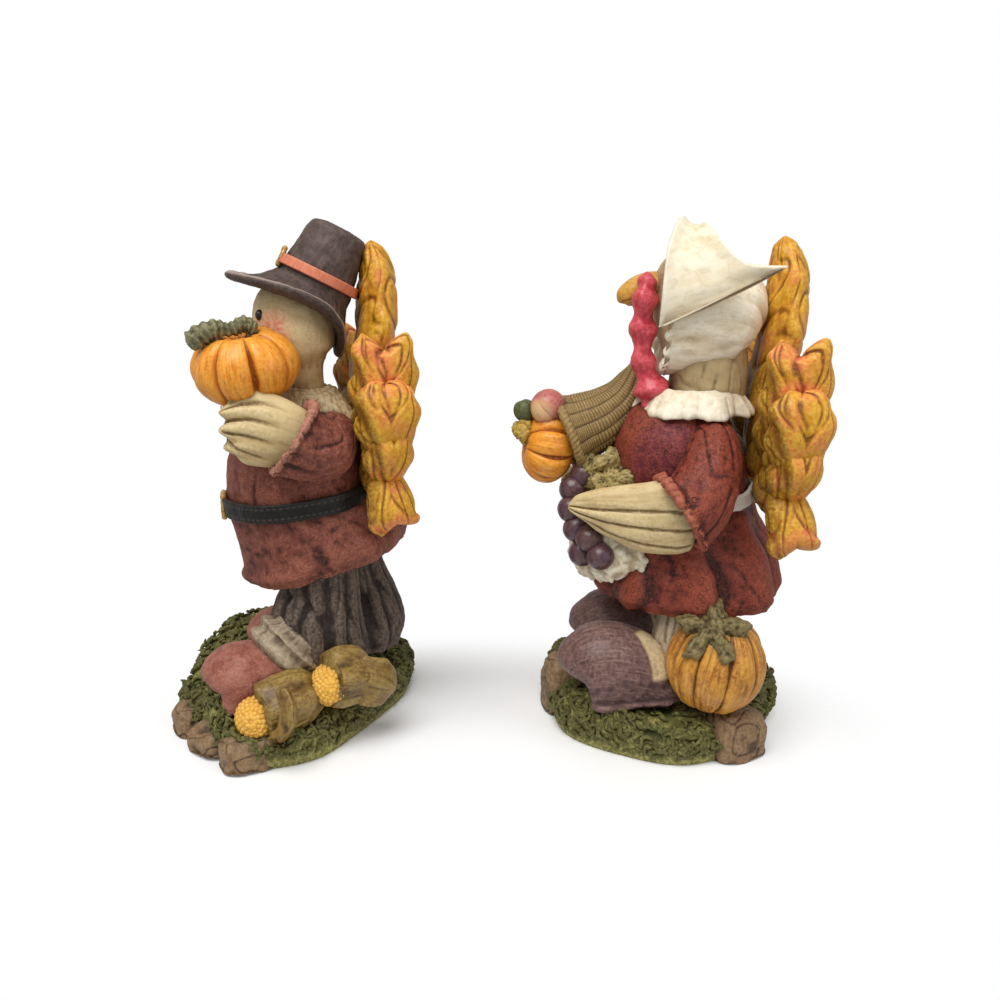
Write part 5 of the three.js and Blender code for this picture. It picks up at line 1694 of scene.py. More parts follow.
@dataclass(frozen=True)
class Tail:
    """The fan: a tall feather in the middle, and the others in pairs."""

    place: Shares
    reach: float
    tall: Feather = Feather(
        13, 5.7, 0,
        ((0.01, 0, -0.11), (0.01, 0, 0.11), (0.03, 0, 0.37), (0.07, 0, 0.6), (0.08, 0, 0.78),
         (0.055, 0, 0.93), (0.05, 0, 0.965)),
        (0.5, 0.7, 0.92, 1, 0.8, 0.36, 0.1), (0.8, 0.9, 1, 1.04, 1, 0.6, 0.2), (0, 1, 0))
    crest: Feather = Feather(
        8.8, 6.4, 0.7,
        ((0.03, 0.07, 0.05), (0.04, 0.21, 0.14), (0.05, 0.32, 0.29), (0.05, 0.36, 0.42), (0.05, 0.37, 0.5)),
        (0.6, 0.9, 1.05, 0.98, 0.7), (0.8, 1, 1, 0.86, 0.5))
    broad: Feather = Feather(
        8.2, 6.6, 0.2,
        ((0.04, 0.12, 0), (0.05, 0.3, 0.04), (0.05, 0.43, 0.17), (0.04, 0.46, 0.28), (0.04, 0.46, 0.36)),
        (0.5, 0.8, 1.06, 1, 0.5), (0.7, 1, 1.05, 0.86, 0.4))
    short: Feather = Feather(
        6.6, 6.4, 0.2,
        ((0.03, 0.1, -0.05), (0.04, 0.26, -0.06), (0.05, 0.39, 0), (0.06, 0.44, 0.08), (0.06, 0.44, 0.15)),
        (0.6, 0.9, 1, 0.94, 0.5), (0.7, 1, 1, 0.9, 0.4))
    low: Feather = Feather(
        7, 6.4, 0.5,
        ((0.02, 0.06, -0.1), (0.03, 0.2, -0.12), (0.05, 0.34, -0.16), (0.06, 0.39, -0.25),
         (0.08, 0.39, -0.31)),
        (0.6, 0.82, 0.84, 1.06, 0.8), (0.7, 1, 1, 0.9, 0.5))

    def skins(self, body: Body) -> list[Skin]:
        """Builds every feather of the fan."""
        root = body.on(*self.place)
        paired = (self.crest, self.broad, self.short, self.low)
        both = [feather.skin(root, self.reach, side) for side in Side for feather in paired]
        return [self.tall.skin(root, self.reach, Side.LEFT), *both]


@dataclass(frozen=True)
class Fruit:
    """A lobed fruit with a dimple at either end, leaning along a direction."""

    radius: float
    height: float
    lobes: int
    lobe: float
    lean: Shares
    place: Shares = (0, 0, 0)
    around: int = 220
    rows: int = 110
    wrinkle: float = 0.2

    def skin(self, middle: Array, blush: Shares = None) -> Skin:
        """Builds the fruit round a place, with the second colour towards a direction if one is given.

        Args:
            middle: Where its middle lies.
            blush: The direction of the second colour, if it has one; on the apple, the direction of a painted
                highlight.

        Returns:
            The closed surface.
        """
        polar = np.linspace(0, math.pi, self.rows)[:, None]
        angle = angles(self.around)
        flat = np.sin(polar) * np.ones_like(angle)
        groove = 1 - np.abs(np.sin(angle * self.lobes / 2))
        swell = 1 - self.lobe * (groove**2 + 0.5 * np.exp(-((1 - groove) / 0.16) ** 2))
        dimple = 1 - self.lobe * 3 * np.exp(-flat * flat * 8)
        level = np.cos(polar) * self.height * dimple
        upright = around_axis(angle, flat * self.radius * swell, level)[..., [0, 2, 1]]
        rings = upright @ turned_to(Y_WAY, self.lean).T
        grain = around_axis(angle, self.radius, polar * self.radius)
        # The second colour gathers on the side that faces the given direction: on the apple, a painted
        # highlight.
        tint = None if blush is None else ease(0.5, 1.0, unit(rings) @ unit(np.array(blush)))
        skin = ringed(rings + middle, grain, tint)
        uneven = ROUGH.lumps(skin.points, self.radius) * 0.02 * self.radius
        return skin.pushed(streaks(skin.grain, 1.6, 8) * self.wrinkle * pooled(flat) + uneven)


@dataclass(frozen=True)
class Vine:
    """A knobbly vine."""

    length: float
    radius: float
    knots: int
    knot: float
    path: tuple
    girth: tuple

    def skin(self, start: Array) -> Skin:
        """Builds the vine from a place.

        Args:
            start: Where it starts.

        Returns:
            The closed surface.
        """
        def ripple(angle: Array, t: Array) -> Array:
            """Knots, and the rings between them."""
            wave = np.cos(t * self.knots * TURN + angle)
            return 1 + self.knot * wave + 0.09 * np.cos(t * self.knots * 4 * TURN)

        path = np.array(self.path) * self.length + start
        skin = Loft(path, self.girth, self.girth, Y_WAY, (self.radius, self.radius), around=60, along=120,
                    ripple=ripple).skin()
        return skin.pushed(FINE.lumps(skin.points, 2) * 0.25 - 0.15)


@dataclass(frozen=True)
class Leaf:
    """A lobed leaf that droops from its middle, facing along a direction."""

    radius: float
    thick: float
    lobes: int
    lobe: float
    droop: float
    lean: Shares
    place: Shares
    crumple: float = 0.8

    def skin(self, middle: Array) -> Skin:
        """Builds the leaf round a place.

        Args:
            middle: Where its middle lies.

        Returns:
            The closed surface.
        """
        out = np.concatenate([np.linspace(0, 0.96, 40), [0.985, 1, 0.985], np.linspace(0.96, 0, 40)])[:, None]
        side = np.concatenate([np.ones(40), [0.7, 0, -0.7], -np.ones(40)])[:, None]
        angle = angles(180)
        swell = self.radius * (1 + self.lobe * np.cos(angle * self.lobes) + 0.05 * np.cos(angle * 17))
        vein = -0.5 * np.exp(-((np.sin(angle * self.lobes / 2) / 0.2) ** 2)) * out
        wave = self.crumple * np.sin(angle * self.lobes + 1) * out**2
        level = side * self.thick / 2 - self.droop * out**2 + vein + wave
        rings = around_axis(angle, out * swell, level) @ turned_to(Z_WAY, self.lean).T
        skin = ringed(rings + middle, around_axis(angle, 3, out * self.radius))
        return skin.pushed(ROUGH.lumps(skin.points, 2.6) * 0.55)


@dataclass(frozen=True)
class Horn:
    """The horn of plenty: rows of short stitches, a rolled rim, and a tail that curves up to its point."""

    width: float = 11.8
    rows: int = 15
    stitches: int = 44
    rim: float = 1.4
    strands: int = 18
    path: tuple = ((-1.16, 0.06, 0.83), (-1, 0.08, 0.855), (-0.74, 0.12, 0.9), (-0.52, 0.2, 0.965),
                   (-0.38, 0.34, 1.05), (-0.33, 0.48, 1.13))
    girth: tuple = (1, 0.86, 0.74, 0.6, 0.42, 0.14)

    def skin(self, body: Body) -> Skin:
        """Builds the horn with its woven surface.

        Args:
            body: The figure's body.

        Returns:
            The closed surface.
        """
        skin = Loft(body.places(self.path), self.girth, self.girth, Y_WAY, (self.width, self.width),
                    around=self.rows * 20, along=self.stitches * 7, rounding=0.02).skin()
        row = skin.angle / TURN * self.rows
        along = skin.far * self.stitches + 0.5 * (np.floor(row) % 2)
        stitch = np.abs(np.sin(along * math.pi)) ** 0.6
        strand = np.abs(np.sin(row * math.pi)) ** 0.6
        return skin.pushed(0.6 * strand * (0.45 + 0.55 * stitch) - 0.4)

    def rim_skin(self, body: Body) -> Skin:
        """The rolled rim, wound with strands.

        Args:
            body: The figure's body.

        Returns:
            The closed surface.
        """
        path = body.places(self.path)
        ahead = unit(spline(path, TINY) - path[0])
        angle, turn = angles(360), angles(20)[:, None]
        thick = self.rim * (0.78 + 0.22 * np.abs(np.sin(angle * self.strands * 1.5 + turn)))
        rings = around_axis(angle, self.width + thick * np.cos(turn), thick * np.sin(turn))
        return looped(rings @ turned_to(Z_WAY, ahead).T + path[0])


@dataclass(frozen=True)
class Bunch:
    """Round berries that press into one another."""

    radius: float
    places: Path
    lumps: float = 0.1

    def skins(self, body: Body) -> list[Skin]:
        """Builds the berries on a body.

        Args:
            body: The figure's body.

        Returns:
            One surface for each berry.
        """
        made = []
        for index, shares in enumerate(self.places):
            berry = ball(body.on(*shares), self.radius, around=48, rows=30)
            made.append(berry.pushed(ROUGH.lumps(berry.points + index, self.radius * 0.7) * self.lumps))
        return made


@dataclass(frozen=True)
class Lace:
    """The lace-edged cloth under the goods."""

    width: float = 15
    depth: float = 19
    scallops: int = 6
    scallop: float = 0.08
    path: tuple = ((-0.36, 0, 0.56), (-0.46, 0, 0.47), (-0.54, 0, 0.37), (-0.52, 0, 0.29), (-0.48, 0, 0.24))
    girth: tuple = (0.6, 0.86, 1, 0.98, 0.8)

    def skin(self, body: Body) -> Skin:
        """Builds the cloth.

        Args:
            body: The figure's body.

        Returns:
            The closed surface.
        """
        def ripple(angle: Array, t: Array) -> Array:
            """Scallops at the edge."""
            return 1 + self.scallop * t * (np.cos(angle * self.scallops) + 0.4 * np.cos(angle * 19))

        skin = Loft(body.places(self.path), self.girth, self.girth, X_WAY, (self.width, self.depth),
                    around=220, along=80, ripple=ripple).skin()
        puffs = FINE.pebbles(skin.points, 3.2) * 0.7
        return skin.pushed(puffs + ROUGH.lumps(skin.points, 6) * 0.7 - 0.9)


@dataclass(frozen=True)
class Corn:
    """An ear of corn in its folded husk, in shares of the space under a body's hem."""

    radius: float
    length: float
    place: Shares
    aim: Shares
    husk_width: float
    husk_depth: float
    husk_path: Path
    leaf_width: float
    leaf_depth: float
    leaf_path: Path
    along: tuple = (0.1, 0, -0.3, -0.65, -1)
    girth: tuple = (0.3, 0.74, 1, 1, 0.6)
    husk_girth: tuple = (0.92, 1, 0.9, 0.5)
    leaf_girth: tuple = (0.7, 1, 0.8, 0.14)
    folds: int = 5
    fold: float = 0.07

    def cob_skin(self, body: Body, ground: Ground) -> Skin:
        """The ear, a core under rows of round kernels.

        Args:
            body: The figure's body.
            ground: The figure's mound.

        Returns:
            The ear as one surface.
        """
        end = body.under(ground, *self.place)
        aim = unit(np.array(self.aim))
        path = end + np.array(self.along)[:, None] * self.length * aim
        girth = np.array(self.girth) * self.radius
        kernels = [Loft(path, girth, girth, Z_WAY, (0.86, 0.86), around=60, along=40).skin()]
        side = unit(np.cross(aim, Z_WAY))
        over = np.cross(side, aim)
        for row, t in enumerate(np.linspace(0.02, 0.75, 10)):
            half = float(spline(girth[:, None], t, even=True)[0])
            spot = spline(path, t)
            count = max(int(TURN * half / 1.55), 1)
            for step in range(count):
                angle = (step + 0.5 * (row % 2)) / count * TURN
                out = side * math.cos(angle) + over * math.sin(angle)
                kernels.append(ball(spot + out * (half - 0.75), 0.95, 10, 7))
        kernels.append(ball(end + aim * self.length * 0.08, 0.9, 10, 7))
        return merged(kernels)

    def husk_skins(self, body: Body, ground: Ground) -> list[Skin]:
        """The sheath folded back behind the ear, and the leaf beside it.

        Args:
            body: The figure's body.
            ground: The figure's mound.

        Returns:
            The sheath and the leaf.
        """
        made = []
        for shares, girth, size in (
                (self.husk_path, self.husk_girth, (self.husk_width, self.husk_depth)),
                (self.leaf_path, self.leaf_girth, (self.leaf_width, self.leaf_depth))):
            path = np.array([body.under(ground, *one) for one in shares])
            skin = Loft(path, girth, girth, Z_WAY, size, around=120, along=70, rounding=0.06,
                        ripple=lambda angle, t: 1 + self.fold * np.cos(angle * self.folds)).skin()
            line = 1 - ease(0, 0.18, grooves(skin.grain, 7, 5))
            made.append(skin.pushed(ROUGH.lumps(skin.points, 7) * 0.5 - line * 0.22 - 0.3))
        return made


MOSS = Paint((112, 110, 54), (42, 42, 22), (180, 172, 104), (130, 126, 62), 0.6, 4, tint=(152, 148, 84),
             strokes=0.1, brush=0.7, wash=0.7, roughness=0.7)
STONE = Paint((124, 97, 68), (54, 40, 30), (170, 142, 108), (106, 78, 55), 0.6, 9, crackle=0.2,
              crackle_size=7, strokes=0.1, wash=0.8)
COAT = Paint((116, 58, 46), (44, 24, 20), (186, 122, 98), (150, 84, 66), 0.7, 11, specks=0.7,
             speck_size=0.6, crackle=0.4, crackle_size=1.3, strokes=0.12, tint=(176, 120, 100),
             wash=0.9, bump=0.2, brush=0.4)
DRESS = Paint((124, 52, 38), (44, 18, 16), (180, 94, 68), (152, 70, 48), 0.6, 12, tint=(108, 38, 48),
              specks=0.2, speck_size=0.6, crackle=0.35, crackle_size=1.3, rings=0.6, strokes=0.12,
              wash=0.95, roughness=0.55, bump=0.2, brush=0.35)
DRESS_SLEEVE = replace(DRESS, tint=(172, 96, 74))
BELT = Paint((24, 21, 20), (10, 9, 9), (66, 60, 56), (32, 28, 27), 0.4, 5, tint=(74, 66, 58),
             roughness=0.45, brush=0.3)
# The felt's tint is the painted highlight along the hat brim's outer rim.
FELT = Paint((76, 60, 54), (36, 28, 26), (124, 106, 97), (90, 72, 66), 0.6, 5, tint=(164, 146, 134),
             strokes=0.35, stroke_size=1.2, stretch=3, brush=0.35)
RIBBON = Paint((204, 108, 78), (130, 62, 46), (228, 150, 118), (212, 124, 94), 0.5, 6, roughness=0.5)
GILT = Paint((190, 142, 60), (92, 60, 26), (236, 200, 120), (170, 118, 44), 0.5, 2, roughness=0.35,
             metal=0.35, varnish=0.3)
PLUMAGE = Paint((220, 195, 144), (152, 118, 78), (238, 220, 178), (206, 176, 124), 0.5, 8,
                tint=(220, 124, 98), strokes=0.15, stroke_size=0.9, wash=0.6, roughness=0.5)
WING = Paint((210, 186, 134), (122, 94, 58), (234, 216, 174), (192, 163, 110), 0.6, 8,
             stroke_size=0.7, wash=0.9, roughness=0.5)
BREECHES = Paint((66, 51, 44), (24, 18, 16), (146, 130, 114), (84, 68, 58), 0.5, 7, strokes=0.3,
                 stroke_size=0.8, brush=0.45, roughness=0.65)
GAITER = Paint((150, 132, 108), (76, 60, 46), (194, 180, 154), (132, 113, 92), 0.6, 6,
               wash=0.8, roughness=0.65)
SHOE = Paint((138, 74, 60), (78, 38, 32), (196, 142, 122), (166, 104, 87), 0.6, 6, specks=0.7,
             speck_size=0.55, strokes=0.08, roughness=0.55, bump=0.2, brush=0.3)
PUMPKIN = Paint((236, 146, 35), (142, 68, 14), (250, 190, 84), (226, 120, 30), 0.6, 8, strokes=0.5,
                stroke_size=0.55, stretch=12, wash=1.0, roughness=0.42, varnish=0.25)
OCHRE_PUMPKIN = replace(PUMPKIN, base=(200, 136, 44), dark=(92, 52, 18), light=(226, 172, 80),
                        patch=(158, 90, 26), patches=0.9)
VINE = Paint((112, 108, 76), (48, 46, 32), (166, 160, 122), (94, 96, 62), 0.6, 3)
FEATHER = Paint((208, 146, 28), (92, 50, 12), (246, 204, 80), (196, 116, 34), 0.6, 9,
                tint=(228, 120, 74), strokes=0.2, stroke_size=0.9, stretch=6, crackle=0.12,
                crackle_size=4, roughness=0.45, varnish=0.06)
CORN = Paint((228, 168, 58), (126, 76, 20), (248, 210, 116), (208, 142, 40), 0.4, 3, roughness=0.45)
HUSK = Paint((132, 104, 50), (56, 39, 18), (178, 152, 88), (104, 73, 36), 0.75, 8,
             stretch=12, roughness=0.45, varnish=0.1)
LINEN = Paint((240, 229, 202), (150, 122, 82), (251, 246, 232), (226, 208, 170), 0.6, 7, crackle=0.12,
              crackle_size=6, strokes=0.2, stroke_size=0.9, wash=0.55, roughness=0.55)
TAN_LINEN = Paint((206, 184, 140), (112, 88, 58), (234, 218, 182), (188, 160, 112), 0.5, 5,
                  strokes=0.2, wash=1.0)
SASH = Paint((228, 222, 210), (150, 138, 122), (244, 240, 232), (212, 203, 188), 0.5, 5)
STOCKING = Paint((182, 164, 138), (96, 80, 62), (212, 198, 174), (162, 142, 114), 0.5, 5, strokes=0.3)
CLOG = Paint((98, 70, 66), (50, 34, 33), (156, 124, 114), (84, 59, 57), 0.5, 8, tint=(224, 203, 156),
             strokes=0.5, stroke_size=0.45, stretch=14, roughness=0.45)
FACE = Paint((152, 121, 90), (84, 62, 42), (196, 170, 130), (172, 146, 106), 0.6, 7,
             tint=(186, 104, 84), strokes=0.2, wash=0.7, roughness=0.55)
NECK = replace(FACE, base=(196, 175, 128), patch=(172, 146, 102), tint=(150, 112, 84))
BEAK = Paint((204, 145, 54), (104, 74, 28), (230, 186, 100), (176, 124, 44), 0.5, 4, roughness=0.4)
WATTLE = Paint((204, 62, 76), (132, 30, 44), (234, 118, 124), (188, 48, 64), 0.4, 4, wash=0.6,
               strokes=0.1, roughness=0.4, varnish=0.35)
HORN = Paint((142, 116, 70), (50, 36, 21), (192, 163, 108), (122, 94, 54), 0.5, 6, strokes=0.2,
             roughness=0.55, wash=1.0)
# The apple's tint, cream, is a painted highlight on the side towards the front.
APPLE = Paint((180, 92, 88), (104, 48, 52), (212, 144, 118), (164, 80, 84), 0.4, 4,
              tint=(222, 190, 134), strokes=0.15, roughness=0.38, varnish=0.2)
GOURD = Paint((76, 82, 50), (38, 40, 26), (116, 120, 78), (90, 94, 58), 0.4, 3, roughness=0.45)
RAISIN = Paint((180, 146, 62), (96, 70, 26), (214, 184, 104), (160, 126, 50), 0.5, 2)
GRAPE = Paint((70, 48, 60), (28, 18, 24), (132, 98, 104), (96, 66, 52), 0.6, 6, roughness=0.3,
              strokes=0.1, varnish=0.4, brush=0.3)
LEAF = Paint((112, 98, 60), (50, 42, 24), (160, 146, 98), (92, 76, 44), 0.7, 4, strokes=0.3)
CURLY_LEAF = replace(LEAF, base=(162, 141, 82), patch=(134, 116, 66), light=(206, 190, 134))
EYE = Paint((24, 20, 18), (10, 8, 8), (60, 50, 44), roughness=0.25, varnish=0.6)


MAN_GROUND = Ground(
    40.5, 42, 12, 17, (0.086, 0.07), (0.86, 1.1, 1.06, 0.98, 0.97, 0.94, 0.98, 0.92, 1.07, 0.93, 0.72, 0.7),
    heaps=((-24, -20, 6, 9), (-16, 14, 4, 9)))
WOMAN_GROUND = Ground(
    38.5, 39.5, 12, 6, (0.03, 0.06), (0.96, 1.09, 1.04, 1, 1, 1.09, 0.99, 1.03, 0.97, 1, 0.92, 0.86),
    heaps=((-27, -17, 6, 9), (-24, 14, 5, 9), (-19, -28, 6, 7)))
COAT_BODY = Body(
    26, 24.5, 44, 58, 6, 0.025, 0.055,
    ((0.49, 0, 0.09), (0.46, 0, 0.17), (0.38, 0, 0.29), (0.22, 0, 0.43), (0.2, 0, 0.54),
     (0.23, 0, 0.66), (0.28, 0, 0.79), (0.35, 0, 0.9), (0.35, 0, 0.99)),
    (0.92, 0.99, 0.94, 0.82, 0.82, 0.8, 0.7, 0.5, 0.24),
    (0.92, 0.98, 0.93, 0.84, 0.86, 0.85, 0.76, 0.56, 0.24))
DRESS_BODY = Body(
    27, 27, 32, 69, 8, 0.05, -0.02,
    ((0.25, 0, 0.115), (0.245, 0, 0.18), (0.23, 0, 0.3), (0.18, 0, 0.41), (0.15, 0, 0.53),
     (0.09, 0, 0.66), (0.06, 0, 0.8), (0.2, 0, 0.91), (0.3, 0, 0.98)),
    (0.96, 1.02, 0.94, 0.84, 0.75, 0.73, 0.72, 0.56, 0.38),
    (0.92, 1, 0.92, 0.8, 0.7, 0.72, 0.7, 0.52, 0.36))
MAN_HEAD = Head(
    12.4, (0.35, 0, 1),
    ((0, 0, -0.6), (-0.02, 0, 0.2), (-0.13, 0, 0.6), (-0.2, 0, 0.95), (-0.24, 0, 1.5),
     (-0.22, 0, 2.05), (-0.1, 0, 2.5), (-0.06, 0, 2.66)),
    (0.42, 0.42, 0.6, 0.88, 0.98, 0.86, 0.46, 0.14), (0.44, 0.44, 0.62, 0.92, 1, 0.88, 0.48, 0.14), 0.05)
WOMAN_HEAD = Head(
    13, (0.3, 0, 1),
    ((0.1, 0, -0.5), (0.1, 0, 0.16), (0.1, 0, 0.62), (-0.1, 0, 1.3), (-0.26, 0, 2),
     (-0.3, 0, 2.68), (-0.3, 0, 3.06), (-0.26, 0, 3.2)),
    (0.84, 0.86, 0.88, 0.92, 0.96, 0.86, 0.52, 0.14), (0.84, 0.86, 0.88, 0.96, 1, 0.88, 0.54, 0.14), 0.18)
MAN_WATTLE = Wattle(
    26, 3, 4, 0.16, (-1.16, 0.38, 1.6),
    ((0, 0, 0), (-0.02, 0.06, -0.2), (0, 0.06, -0.5), (0.05, 0.04, -0.8), (0.08, 0.02, -1)),
    (0.5, 0.95, 0.95, 1.15, 0.5))
WOMAN_WATTLE = Wattle(
    40.5, 3.5, 6, 0.14, (-1.36, -0.31, 2.69),
    ((0, 0, 0), (-0.02, -0.04, -0.13), (-0.03, -0.02, -0.37), (-0.01, -0.01, -0.63),
     (0.06, -0.01, -0.85), (0.08, -0.01, -1)),
    (0.5, 0.95, 1, 0.95, 1.3, 0.6))
MAN_SLEEVE = Sleeve(
    10.4, 10, 6, 0.05,
    ((0.62, -0.34, 0.84), (0.52, -0.66, 0.8), (0.4, -0.86, 0.77), (0.22, -0.94, 0.8), (0.1, -0.94, 0.835)),
    (0.5, 0.8, 0.95, 1.02, 1.14), (0.5, 0.8, 0.96, 1.04, 1.16))
WOMAN_SLEEVE = Sleeve(
    10, 10, 6, 0.05,
    ((0.34, -0.28, 0.86), (0.32, -0.56, 0.81), (0.24, -0.78, 0.71), (0.08, -0.9, 0.61),
     (-0.06, -0.92, 0.575)),
    (0.6, 0.8, 0.9, 1, 1.14), (0.6, 0.8, 0.92, 1.04, 1.2))
MAN_WING = Wing(
    5, 10, 4, 0.12, 0.06, 0.24,
    ((0.4, -0.9, 0.78), (0.1, -0.9, 0.83), (-0.2, -0.88, 0.875), (-0.46, -0.84, 0.9), (-0.64, -0.8, 0.9)),
    (0.7, 1, 1, 0.84, 0.5), (0.6, 0.9, 1, 0.86, 0.6))
WOMAN_WING = Wing(
    4.8, 11, 4, 0.08, -0.4, 0.08,
    ((0.14, -0.9, 0.56), (-0.08, -0.9, 0.56), (-0.42, -0.86, 0.555), (-0.8, -0.74, 0.56),
     (-1.17, -0.6, 0.575)),
    (0.8, 1, 0.96, 0.8, 0.4), (0.84, 0.98, 0.9, 0.66, 0.24), (-0.2, 0.1, 0.5))
BREECHES_LEGS = Legs(
    13.4, 12.6,
    (((0.34, -0.3, 1.3), (0.34, -0.32, 0.96), (0.3, -0.36, 0.66), (0.32, -0.36, 0.36), (0.4, -0.36, 0.2)),
     ((0.66, 0.3, 1.3), (0.72, 0.32, 0.96), (0.8, 0.33, 0.66), (0.88, 0.34, 0.36), (0.9, 0.34, 0.12))),
    (0.84, 0.88, 1, 1.04, 0.84), gathers=11, gather=0.05, creases=0.9)
GAITER_LEGS = Legs(
    12.2, 11.6,
    (((0.16, -0.5, 0.6), (0.04, -0.51, 0.5), (-0.08, -0.53, 0.4), (-0.14, -0.53, 0.34)),
     ((0.7, 0.42, 0.54), (0.6, 0.43, 0.44), (0.48, 0.44, 0.34), (0.42, 0.44, 0.28))),
    (0.8, 1, 1, 0.84), folds=3, fold=0.06, creases=0.3)
STOCKING_LEGS = Legs(
    7.4, 7.4,
    (((0.12, -0.5, 1.5), (0.06, -0.5, 0.9), (-0.02, -0.5, 0.45)),
     ((0.12, 0.5, 1.5), (0.06, 0.5, 0.9), (-0.02, 0.5, 0.45))),
    (0.9, 1, 1), gathers=9, gather=0.03, creases=0.4)
MAN_SHOE = Shoe(29, 12, 9.6, 0.06, ((-0.31, -0.64), (0.2, 0.5)))
WOMAN_SHOE = Shoe(29.5, 12.2, 13.2, 0.2, ((-0.48, -0.58), (-0.28, 0.5)), welt=0.6)
MAN_PUMPKIN = Fruit(15, 11, 8, 0.14, (-0.14, -0.16, 1), (-0.32, -0.46, 1.155))
SIDE_PUMPKIN = Fruit(14, 15, 9, 0.09, (0.12, -0.05, 1), (0.4, -0.92, 0.78), wrinkle=0.35)
HORN_PUMPKIN = Fruit(11.4, 8.4, 8, 0.11, (-1, -0.1, 0.16), (-1.36, 0.04, 0.78), 180, 90)
HORN_APPLE = Fruit(5.4, 5, 5, 0.04, (-0.7, -0.1, 0.7), (-1.38, -0.1, 0.955), 80, 50, 0.05)
HORN_GOURD = Fruit(3.3, 3.4, 5, 0.04, (-0.4, 0.1, 1), (-1.62, -0.04, 0.935), 60, 40, 0.05)
PUMPKIN_VINE = Vine(
    22, 2.8, 3, 0.12,
    ((0.25, 0.02, -0.04), (0.08, 0, 0.02), (-0.12, -0.04, -0.03), (-0.36, -0.1, -0.04),
     (-0.58, -0.16, -0.22)),
    (0.8, 0.86, 0.74, 1.1, 1))
SIDE_LEAF = Leaf(8.4, 1.7, 5, 0.26, 4.2, (-0.3, -0.9, 1), (-0.26, -0.56, 0.94), 1.5)
GRAPE_LEAVES = (
    Leaf(9.6, 1.8, 5, 0.24, 3, (-0.3, -0.7, 0.6), (-0.72, -0.42, 0.665), 1.8),
    Leaf(6.5, 1.6, 4, 0.3, 3, (-0.5, -0.9, 0.2), (-0.95, -0.3, 0.7), 1.6))
GRAPES = Bunch(4, (
    (-0.94, -0.54, 0.43), (-0.82, -0.62, 0.36), (-1, -0.42, 0.35), (-1.06, -0.36, 0.45),
    (-1.12, -0.3, 0.53), (-1.1, -0.22, 0.61), (-0.98, -0.2, 0.67)))
RAISINS = Bunch(
    2.5, ((-1.6, -0.06, 0.875), (-1.64, -0.12, 0.845), (-1.66, 0, 0.85), (-1.6, -0.06, 0.82)), 0.7)
FRONT_CORN = Corn(
    6.5, 15, (-0.49, -1.34, 0.08), (-0.3, -0.92, 0.22), 8.6, 9.4,
    ((-0.44, -1.2, 0.1), (-0.2, -1.12, 0.13), (0.06, -1.02, 0.16), (0.3, -0.92, 0.18)), 8.4, 3.4,
    ((-0.2, -1.2, 0.3), (-0.16, -1.33, 0.12), (-0.16, -1.37, -0.06), (-0.2, -1.4, -0.2)))
NEAR_CORN = Corn(
    6.2, 14, (0.36, -1.28, 0.3), (-0.12, -0.92, 0.32), 8.6, 9.2,
    ((0.3, -1.12, 0.32), (0.46, -1.04, 0.3), (0.66, -0.94, 0.28), (0.84, -0.8, 0.24)), 7.6, 5.4,
    ((0.6, -1.02, 0.36), (0.8, -1.06, 0.24), (0.96, -1, 0.12), (1.04, -0.92, 0.02)))
MAN_STONES = (
    ("front", Stone(7.8, 8, 9.4, 0.03, (-0.81, -0.16))),
    ("middle", Stone(8.4, 8.6, 8.8, 0.1, (-0.65, -0.5))),
    ("near", Stone(9.4, 7.4, 10.8, 0.04, (-0.43, -0.79))))
WOMAN_STONES = (
    ("front", Stone(6.5, 9, 18, 0.02, (-0.85, 0.03))),
    ("near", Stone(9.5, 7.5, 14.6, 0.08, (0.42, -0.72))))


@dataclass
class Turkey:
    """What the gentleman and the lady have in common: most of the body, and the ground they stand on."""

    name: str
    shift: float
    turn: float
    body: Body
    head: Head
    beak: Beak
    wattle: Wattle
    eye: Shares
    collar: Collar
    sleeve: Sleeve
    wing: Wing
    tail: Tail
    ground: Ground
    stones: tuple[tuple[str, Stone], ...]
    moss_seed: int
    eye_radius: float = 1.3
    figure: Figure = field(init=False)
    standing: list[Skin] = field(init=False, default_factory=list)

    def __post_init__(self) -> None:
        """Sets the empty figure in its place."""
        self.figure = Figure(self.name, (PAIR_SHIFT[0] + self.shift, PAIR_SHIFT[1]), self.turn)

    def add(self, part: str, slot: str, paint: Paint, *skins: Skin) -> None:
        """Adds an element of the figure."""
        self.figure.add(part, slot, paint, *skins)

    def stand(self, part: str, slot: str, paint: Paint, *skins: Skin) -> None:
        """Adds an element that stands on the ground, where no moss grows."""
        self.add(part, slot, paint, *skins)
        self.standing += skins

    def add_collar_and_tail(self, linen: Paint) -> None:
        """The collar in its linen, and the tail behind."""
        self.add("collar", "linen", linen, self.collar.skin(self.body))
        self.add("tail", "feather", FEATHER, *self.tail.skins(self.body))

    def add_face(self, slot: str, paint: Paint, blush: Shares) -> None:
        """The head with its eyes, the beak and the wattle.

        Args:
            slot: The slot of the head's finish.
            paint: The head's finish.
            blush: Where the near cheek blushes, as a place on the head.
        """
        body, head = self.body, self.head
        x, y, z = self.eye
        self.add("head", slot, paint, head.skin(body, head.on(body, *blush)))
        eyes = [ball(head.on(body, x, y * side.value, z), self.eye_radius, 24, 14, long=1.2) for side in Side]
        self.figure.extra("eyes", "belt", EYE, *eyes)
        self.add("beak", "beak", BEAK, self.beak.skin(body, head))
        self.add("wattle", "wattle", WATTLE, self.wattle.skin(body, head))

    def add_arms(self, slot: str, paint: Paint) -> None:
        """A sleeve and a wing on either side."""
        for side in Side:
            self.add(f"sleeve_{side.word}", slot, paint, self.sleeve.skin(self.body, side))
            self.add(f"wing_{side.word}", "wing", WING, self.wing.skin(self.body, side))

    def add_ground(self) -> None:
        """Stones and the mossy mound."""
        for name, stone in self.stones:
            self.stand(f"stone_{name}", "stone", STONE, stone.skin(self.ground))
        self.add("base", "moss", MOSS, self.ground.skin(), self.ground.moss(self.moss_seed, self.standing))


